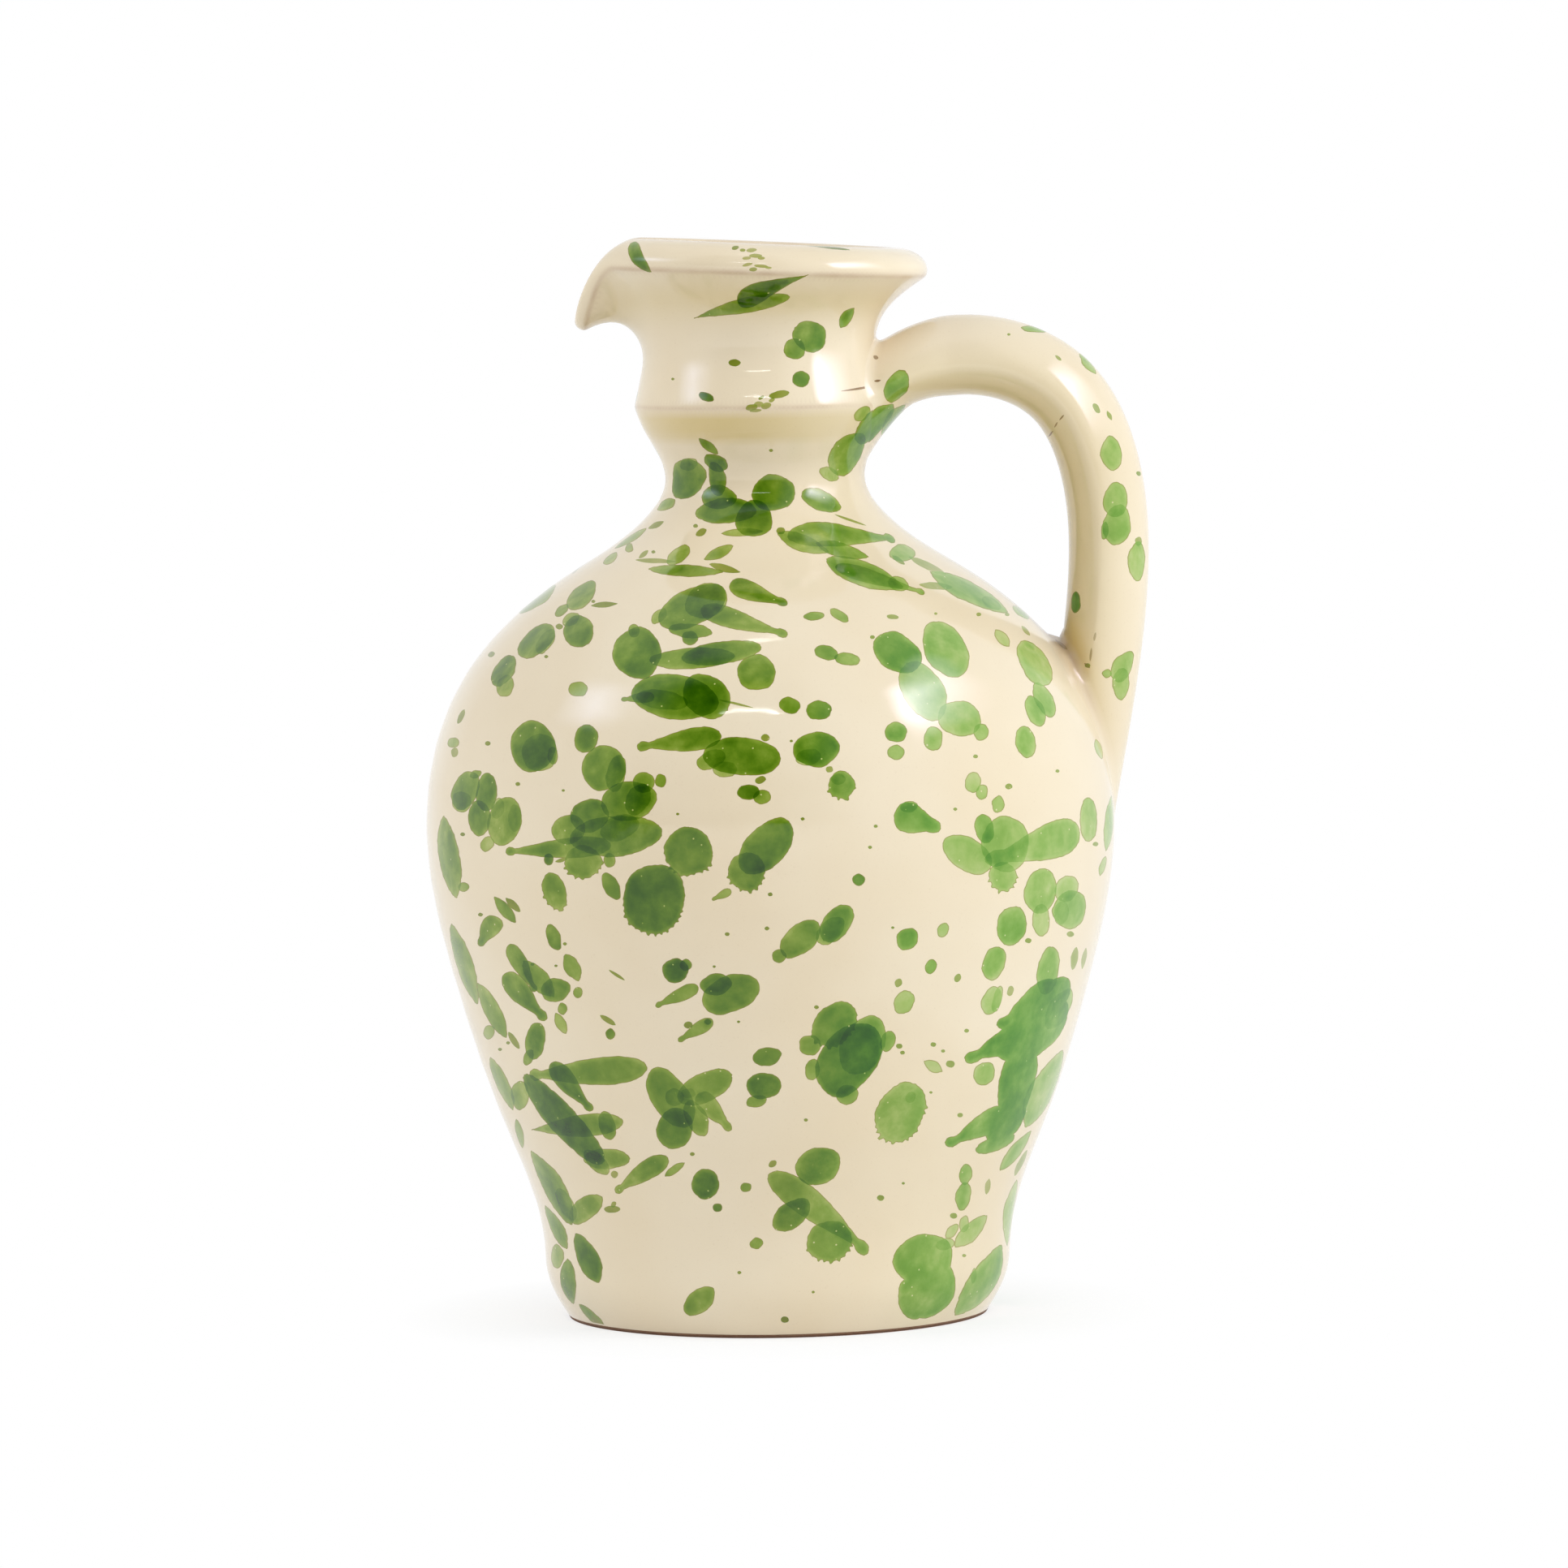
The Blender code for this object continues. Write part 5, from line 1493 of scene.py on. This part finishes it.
def make_wall(surface, material):
    """The glazed skin of the thrown form, outside and in, closed under the foot."""
    rng = random.Random(WALL_SEED)
    turns = (-math.pi, math.pi)
    crown_run = surface.runs[CROWN_SAMPLE]
    low_runs = np.linspace(0, FOOT_SEARCH, FOOT_SAMPLES)
    heights = surface.at(np.zeros(FOOT_SAMPLES), low_runs)[:, 2]
    foot_run = float(np.interp(BARE_FOOT, heights, low_runs))
    back_runs = (foot_run + BACK_MARGIN, crown_run - BACK_MARGIN)
    splashes = front_splashes(surface, rng)
    splashes += hidden_splashes(surface, rng, BACK_CLUSTERS, BACK_SPECKS, BACK_TURNS, back_runs)
    splashes = kept_splashes(splashes, turns, SEAM_MARGIN / BELLY_SCALE)
    for splash in splashes:
        splash.hold_within(foot_run + SEAM_MARGIN, crown_run + INSIDE_RUN - SEAM_MARGIN)
    rows = row_runs(surface, 0.0, foot_run, crown_run + INSIDE_RUN)
    skin = Skin(splashes, turns, rows, WALL_COLUMNS, BELLY_SCALE)
    piece = Piece()
    foot, inside = add_skin(piece, surface, skin, turns, rows, SKIN_PLACES)
    add_inside(piece, surface, inside, rows[-1])
    add_foot_cover(piece, foot)
    return piece.made("glazed_wall", material)


def add_buried_cap(piece, loop, outward, place, tip_place):
    """Closes one end of the handle under the wall's glaze, following the wall."""
    edge = np.array([piece.points[k] for k in loop])
    middle = edge.mean(axis=0)
    below, below_place = loop, place
    for share in CAP_RINGS:
        ring, normals = [], []
        for point in edge:
            spot, normal = on_wall(middle + (point - middle) * share)
            ring.append(spot - normal * CAP_DEPTH)
            normals.append(-normal)
        above = piece.add_points(ring, normals)
        ring_place = tip_place + (place - tip_place) * share
        if outward:
            piece.add_ring(below, above, below_place, ring_place)
        else:
            piece.add_ring(above, below, ring_place, below_place)
        below, below_place = above, ring_place
    spot, normal = on_wall(middle)
    tip = piece.add_points([spot - normal * CAP_DEPTH], [-normal])[0]
    piece.add_fan(below if outward else below[::-1], tip, below_place, tip_place)


def make_handle(surface, material):
    """The glazed skin of the strap, with the luting clay worked into its two ends."""
    rng = random.Random(HANDLE_SEED)
    turns = (0.0, math.tau)
    far_runs = (HANDLE_FAR_ENDS[0], surface.runs[-1] - HANDLE_FAR_ENDS[1])
    splashes = handle_splashes(surface, rng)
    splashes += hidden_splashes(
        surface, rng, HANDLE_CLUSTERS, HANDLE_HIDDEN_SPECKS, HANDLE_FAR_TURNS, far_runs
    )
    splashes = kept_splashes(splashes, turns, SEAM_MARGIN / STRAP_SCALE)
    for splash in splashes:
        splash.hold_within(SEAM_MARGIN, surface.runs[-1] - SEAM_MARGIN)
    rows = row_runs(surface, math.pi / 2, 0.0, surface.runs[-1])
    skin = Skin(splashes, turns, rows, HANDLE_COLUMNS, STRAP_SCALE)
    piece = Piece()
    root, tail = add_skin(piece, surface, skin, turns, rows, HANDLE_PLACES)
    add_buried_cap(piece, root, False, HANDLE_PLACES[0], 0.0)
    add_buried_cap(piece, tail, True, HANDLE_PLACES[1], 1.0)
    return piece.made("glazed_handle", material)


def make_foot(material):
    """The bare clay that the bottle stands on, with the grooves of the wire that cut it from the wheel."""
    top = BARE_FOOT - FOOT_GAP
    radius = LOWER_WALL[0, 0]
    circle = np.stack([np.sin(WALL_BEARINGS), -np.cos(WALL_BEARINGS), np.zeros(WALL_COLUMNS)], axis=1)
    up = np.array((0.0, 0.0, 1.0))
    piece = Piece()
    rings = []
    for share in np.linspace(1 / FOOT_RINGS, 1, FOOT_RINGS):
        ring_radius = radius * share
        groove = 0.5 - 0.5 * math.cos(math.tau * ring_radius / GROOVE_PITCH)
        lift = GROOVE_DEPTH * groove * (share < GROOVE_END)
        rings.append(piece.add_points(circle * ring_radius + up * lift, [-up] * WALL_COLUMNS))
    ring_step = FOOT_UNDER_PLACE / FOOT_RINGS
    for k in range(FOOT_RINGS - 1):
        piece.add_ring(rings[k], rings[k + 1], k * ring_step, (k + 1) * ring_step)
    tip = piece.add_points([(0.0, 0.0, 0.0)], [-up])[0]
    piece.add_fan(rings[0][::-1], tip, FOOT_TIP_PLACE, 0.0)
    edge = piece.add_points(circle * (radius + FOOT_FLARE) + up * top, circle)
    middle = piece.add_points([up * top], [up])[0]
    piece.add_ring(rings[-1], edge, *FOOT_EDGE_PLACES)
    piece.add_fan(edge, middle, *FOOT_TOP_PLACES)
    return piece.made("bare_foot", material)


class Shader:
    """The nodes of one material, lamp or world, added and linked by name."""

    def __init__(self, holder):
        holder.use_nodes = True
        self.tree = holder.node_tree
        self.tree.nodes.clear()

    def add(self, kind, settings=None, **sockets):
        """Adds a node. Each socket, by name or as i and a number, gets a value or another node's output."""
        made = self.tree.nodes.new("ShaderNode" + kind)
        for name, value in (settings or {}).items():
            setattr(made, name, value)
        for name, value in sockets.items():
            numbered = name[0] == "i" and name[1:].isdigit()
            socket = made.inputs[int(name[1:]) if numbered else name.replace("_", " ")]
            if isinstance(value, bpy.types.NodeSocket):
                self.tree.links.new(value, socket)
            else:
                socket.default_value = value
        return made

    def noise(self, spot, scale, detail, roughness=0.5):
        """A cloudy value at a spot."""
        made = self.add("TexNoise", Vector=spot, Scale=scale, Detail=detail, Roughness=roughness)
        return made.outputs["Fac"]

    def attribute(self, name):
        """A value that the mesh carries."""
        return self.add("Attribute", {"attribute_name": name}).outputs["Fac"]

    def part(self, vector, axis):
        """A vector's part along one axis."""
        return self.add("SeparateXYZ", Vector=vector).outputs[axis]

    def bumped(self, strength, distance, height):
        """Normals that follow a height."""
        made = self.add("Bump", Strength=strength, Distance=distance, Height=height)
        return made.outputs["Normal"]

    def maths(self, operation, a, b=0.0, clamp=False):
        """Two values put together."""
        return self.add("Math", {"operation": operation, "use_clamp": clamp}, i0=a, i1=b).outputs[0]

    def mixed(self, blend, factor, a, b):
        """Two colours mixed."""
        made = self.add("Mix", {"data_type": "RGBA", "blend_type": blend}, i0=factor, i6=a, i7=b)
        return made.outputs[2]

    def ramp(self, value, stops):
        """A run of colours along a value."""
        made = self.add("ValToRGB", Fac=value)
        elements = made.color_ramp.elements
        while len(elements) < len(stops):
            elements.new(0.5)
        for element, (place, colour) in zip(elements, stops):
            element.position = place
            element.color = (*colour, 1.0)
        return made.outputs["Color"]

    def scaled(self, value, low, high, new_low, new_high):
        """A value moved from one range into another, held at its ends."""
        made = self.add("MapRange", i0=value, i1=low, i2=high, i3=new_low, i4=new_high)
        return made.outputs[0]


def passed_light(absorbance):
    """The light that comes through green glaze, for a ramp over its thickness."""
    shares = np.arange(RAMP_STEPS + 1) / RAMP_STEPS
    return [(share, tuple(np.exp(-absorbance * THICKEST * share))) for share in shares]


def pinholes(shader, spot):
    """One in the middle of each pinhole, and nought away from them."""
    cells = shader.add("TexVoronoi", {"feature": "F1"}, Vector=spot, Scale=HOLE_SCALE)
    pick = shader.add("SeparateColor", Color=cells.outputs["Color"]).outputs[0]
    chosen = shader.maths("GREATER_THAN", pick, HOLE_PICK)
    return shader.maths("MULTIPLY", shader.scaled(cells.outputs["Distance"], *HOLE_SIZES, 1.0, 0.0), chosen)


def green_light(shader, spot, pools, mottle):
    """The light that comes through the green splashes, which lie unevenly and have pinholes."""
    pool_layer = shader.scaled(pools, *NOISE_SPAN, *POOL_LAYERS)
    uneven = shader.maths("ADD", pool_layer, shader.scaled(mottle, *MOTTLE_SPAN, *MOTTLE_LAYERS))
    open_hole = shader.maths("SUBTRACT", 1.0, shader.maths("MULTIPLY", pinholes(shader, spot), HOLE_DEPTH))
    layers = shader.maths("MULTIPLY", shader.attribute("glaze"), uneven)
    thickness = shader.maths("MULTIPLY", layers, open_hole)
    share = shader.maths("DIVIDE", thickness, THICKEST, True)
    fresh = shader.scaled(shader.part(spot, "X"), *FRESH_SPAN, 0.0, 1.0)
    olive_passed = shader.ramp(share, passed_light(OLIVE_ABSORBANCE))
    return shader.mixed("MIX", fresh, olive_passed, shader.ramp(share, passed_light(FRESH_ABSORBANCE)))


def cream_colour(shader, spot, pools):
    """Cream with clouds and grain, deeper for pooled glaze and painted shade, duller for thin glaze and
    painted shadow.
    """
    clouds = shader.noise(spot, *CLOUDS)
    warm = shader.scaled(clouds, *CLOUD_SPAN, 0.0, 1.0)
    cream = shader.mixed("MIX", warm, (*CREAM, 1.0), (*CREAM_WARM, 1.0))
    grain = shader.scaled(shader.noise(spot, *GRAIN), *GRAIN_SPAN, 0.0, GRAIN_STRENGTH)
    cream = shader.mixed("MULTIPLY", grain, cream, (*GRAIN_TINT, 1.0))
    # Pooled glaze and painted shade deepen and warm the cream.
    pool_and_shade_share = shader.scaled(clouds, *NOISE_SPAN, *POOL_AND_SHADE_SHARES)
    pooled = shader.maths("MULTIPLY", shader.attribute("pool"), pool_and_shade_share, True)
    cream = shader.mixed("MULTIPLY", pooled, cream, (*POOL_AND_SHADE_TINT, 1.0))
    # Thinner glaze, and the painted shadow line under the lip, dull the cream.
    thin_and_shade_share = shader.scaled(pools, *NOISE_SPAN, *THIN_AND_SHADE_SHARES)
    thinned_and_shaded = shader.maths("MULTIPLY", shader.attribute("thin_and_shade"), thin_and_shade_share, True)
    return shader.mixed("MULTIPLY", thinned_and_shaded, cream, (*THIN_AND_SHADE_TINT, 1.0))


def glaze_material():
    """Glossy cream glaze, with translucent green splashes that darken where they lie thicker or overlap."""
    material = bpy.data.materials.new("splashed_glaze")
    shader = Shader(material)
    spot = shader.add("TexCoord").outputs["Object"]
    mottle = shader.noise(spot, *MOTTLE)
    pools = shader.noise(spot, *POOLS)
    cream = cream_colour(shader, spot, pools)
    colour = shader.mixed("MULTIPLY", 1.0, cream, green_light(shader, spot, pools, mottle))
    rim = shader.maths("MULTIPLY", shader.attribute("rim"), RIM_STRENGTH)
    colour = shader.mixed("MIX", rim, colour, (*RIM_COLOUR, 1.0))
    colour = shader.mixed("MIX", shader.attribute("stain"), colour, (*STAIN, 1.0))
    surface = shader.add(
        "BsdfPrincipled",
        Base_Color=colour,
        Roughness=shader.scaled(mottle, *GLOSS_SPAN, *GLAZE_ROUGHNESS),
        IOR=GLAZE_IOR,
        Normal=shader.bumped(RIPPLE_STRENGTH, RIPPLE_HEIGHT, shader.noise(spot, *RIPPLE)),
    )
    shader.add("OutputMaterial", Surface=surface.outputs[0])
    return material


def clay_material():
    """Bare fired clay, with sandy grain, darker rubbed patches, and browned clay and painted shadow at its
    foot's edge.
    """
    material = bpy.data.materials.new("bare_clay")
    shader = Shader(material)
    spot = shader.add("TexCoord").outputs["Object"]
    grain = shader.noise(spot, *CLAY_GRAIN)
    patches = shader.noise(spot, *CLAY_PATCHES)
    grain_tone = shader.scaled(grain, *NOISE_SPAN, 0.0, CLAY_GRAIN_SHARE)
    tone = shader.maths("ADD", grain_tone, shader.scaled(patches, *NOISE_SPAN, 0.0, CLAY_PATCH_SHARE))
    colour = shader.mixed("MIX", tone, (*CLAY_DARK, 1.0), (*CLAY, 1.0))
    # Darker towards the edge it stands on: browned clay and a painted contact shadow.
    height = shader.part(spot, "Z")
    on_edge = shader.maths("GREATER_THAN", height, EDGE_SHADOW_HEIGHTS[0])
    browned_and_shaded = shader.maths("MULTIPLY", on_edge, shader.scaled(height, *EDGE_SHADOW_HEIGHTS, *EDGE_SHADOW_SHARES))
    colour = shader.mixed("MIX", browned_and_shaded, colour, (*CLAY_EDGE_AND_SHADOW, 1.0))
    bump = shader.bumped(CLAY_BUMP, CLAY_BUMP_HEIGHT, grain)
    surface = shader.add("BsdfPrincipled", Base_Color=colour, Roughness=CLAY_ROUGHNESS, Normal=bump)
    shader.add("OutputMaterial", Surface=surface.outputs[0])
    return material


def shown_background(shader):
    """One for rays from the camera, a reflection or glass, which see the background as white."""
    path = shader.add("LightPath").outputs
    seen = shader.maths("ADD", path["Is Camera Ray"], path["Is Glossy Ray"])
    return shader.maths("ADD", seen, path["Is Transmission Ray"], True)


def make_floor():
    """A pale floor that turns white away from the object, and keeps its shadow close by."""
    material = bpy.data.materials.new("floor")
    shader = Shader(material)
    spot = shader.add("TexCoord").outputs["Object"]
    away = shader.add("VectorMath", {"operation": "LENGTH"}, Vector=spot).outputs["Value"]
    white = shader.scaled(away, *SHADOW_REACH, NEAR_WHITE, 1.0)
    plain = shader.add("BsdfDiffuse", Color=FLOOR_COLOUR).outputs[0]
    glow = shader.add("Emission", Color=WHITE, Strength=1.0).outputs[0]
    factor = shader.maths("MULTIPLY", white, shown_background(shader))
    surface = shader.add("MixShader", i0=factor, i1=plain, i2=glow)
    shader.add("OutputMaterial", Surface=surface.outputs[0])
    half = FLOOR_SIDE / 2
    corners = [(-half, -half, 0), (half, -half, 0), (half, half, 0), (-half, half, 0)]
    floor = meshed("floor", corners, [(0, 1, 2, 3)], material)
    floor.location.z = -FLOOR_DROP


def make_world():
    """White all round to the eye and in reflections, and softer as light."""
    world = bpy.data.worlds.new("studio")
    bpy.context.scene.world = world
    shader = Shader(world)
    spot = shader.add("TexCoord").outputs["Generated"]
    height = shader.part(spot, "Z")
    light = shader.scaled(height, 0.0, 1.0, WORLD_LIGHT, ZENITH_LIGHT)
    strength = shader.scaled(shown_background(shader), 0.0, 1.0, light, 1.0)
    background = shader.add("Background", Color=WHITE, Strength=strength)
    shader.add("OutputWorld", Surface=background.outputs[0])


def heading(bearing, elevation):
    """The direction at a bearing and an elevation in degrees."""
    bearing, elevation = math.radians(bearing), math.radians(elevation)
    level = math.cos(elevation)
    return Vector((level * math.sin(bearing), -level * math.cos(bearing), math.sin(elevation)))


def make_card():
    """The dark side of the studio in front of the bottle, which shows in its gloss and nowhere else."""
    material = bpy.data.materials.new("dark_card")
    shader = Shader(material)
    cover = shader.attribute("cover")
    clear = shader.add("BsdfTransparent").outputs[0]
    dark = shader.add("BsdfDiffuse", Color=BLACK).outputs[0]
    surface = shader.add("MixShader", i0=cover, i1=clear, i2=dark)
    shader.add("OutputMaterial", Surface=surface.outputs[0])
    shares = np.linspace(0, 1, CARD_STEPS + 1)
    points, covers, faces = [], [], []
    for i, up in enumerate(shares):
        for j, across in enumerate(shares):
            bearing = CARD_BEARINGS[0] + (CARD_BEARINGS[1] - CARD_BEARINGS[0]) * across
            elevation = CARD_ELEVATIONS[0] + (CARD_ELEVATIONS[1] - CARD_ELEVATIONS[0]) * up
            points.append(LAMP_MIDDLE + heading(bearing, elevation) * CARD_DISTANCE)
            covers.append(float(ease(min(across, 1 - across) / CARD_FADE) * ease((1 - up) / CARD_FADE)))
            if i < CARD_STEPS and j < CARD_STEPS:
                k = i * (CARD_STEPS + 1) + j
                faces.append((k, k + 1, k + CARD_STEPS + 2, k + CARD_STEPS + 1))
    card = meshed("dark_card", points, faces, material)
    card.data.attributes.new("cover", "FLOAT", "POINT").data.foreach_set("value", covers)
    card.visible_camera = False
    card.visible_diffuse = False
    card.visible_transmission = False
    card.visible_volume_scatter = False
    card.visible_shadow = False


def soften_panel(light, fades):
    """Fades a panel in and out along its width, and softly at its lower and upper edges."""
    shader = Shader(light)
    spot = shader.add("NewGeometry").outputs["Parametric"]
    parts = shader.add("SeparateXYZ", Vector=spot).outputs
    strength = 1.0
    for place, (start, end) in ((parts["X"], fades), (parts["Y"], (PANEL_EDGE, PANEL_EDGE))):
        strength = shader.maths("MULTIPLY", shader.scaled(place, 0.0, start, 0.0, 1.0), strength)
        strength = shader.maths("MULTIPLY", shader.scaled(place, 1.0 - end, 1.0, 1.0, 0.0), strength)
    glow = shader.add("Emission", Strength=strength)
    shader.add("OutputLight", Surface=glow.outputs[0])


def make_lamp(name, place, away, width, height, radiance):
    """A flat lamp at a place, with its back turned to a direction."""
    light = bpy.data.lights.new(name, "AREA")
    light.shape = "RECTANGLE"
    light.size = width
    light.size_y = height
    light.energy = radiance * math.pi * width * height
    light.color = LAMP_COLOUR
    lamp = linked(name, light)
    lamp.location = place
    lamp.rotation_euler = (-away).to_track_quat("-Z", "Y").to_euler()
    lamp.visible_camera = False
    lamp.visible_glossy = False
    return lamp


def make_panel(fades, colour, *lamp):
    """A panel that shows in the gloss only."""
    panel = make_lamp(*lamp)
    panel.data.color = colour
    soften_panel(panel.data, fades)
    panel.visible_glossy = True
    panel.visible_diffuse = False
    panel.visible_transmission = False


def make_camera():
    """The camera that took the photograph."""
    right, up, forward = camera_axes()
    data = bpy.data.cameras.new("camera")
    data.sensor_width = SENSOR_WIDTH
    data.lens = SENSOR_WIDTH * CAMERA_REACH / FRAME_WIDTH
    camera = linked("camera", data)
    turned = Matrix((right, up, -forward)).transposed()
    camera.matrix_world = Matrix.Translation(CAMERA_EYE) @ turned.to_4x4()
    bpy.context.scene.camera = camera


def main():
    """Makes the three pieces, the studio round them and the camera."""
    glaze = glaze_material()
    clay = clay_material()
    wall = make_wall(thrown_surface(), glaze)
    handle = make_handle(handle_surface(), glaze)
    foot = make_foot(clay)
    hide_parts("body", "neck_slip", "neck", "mouth_slip", "mouth")
    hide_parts("handle", "upper_luting", "lower_luting")
    for piece, slot in ((wall, "splashed_glaze"), (handle, "splashed_glaze"), (foot, "bare_clay")):
        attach(piece, "root")
    make_floor()
    make_world()
    make_card()
    for name, bearing, elevation, distance, *sizes in LAMPS:
        away = heading(bearing, elevation)
        make_lamp(name, LAMP_MIDDLE + away * distance, away, *sizes)
    for name, place, bearing, elevation, *sizes, fades, colour in PANELS:
        make_panel(fades, colour, name, place, heading(bearing, elevation), *sizes)
    make_camera()
    bpy.context.scene.view_settings.view_transform = "Standard"


main()
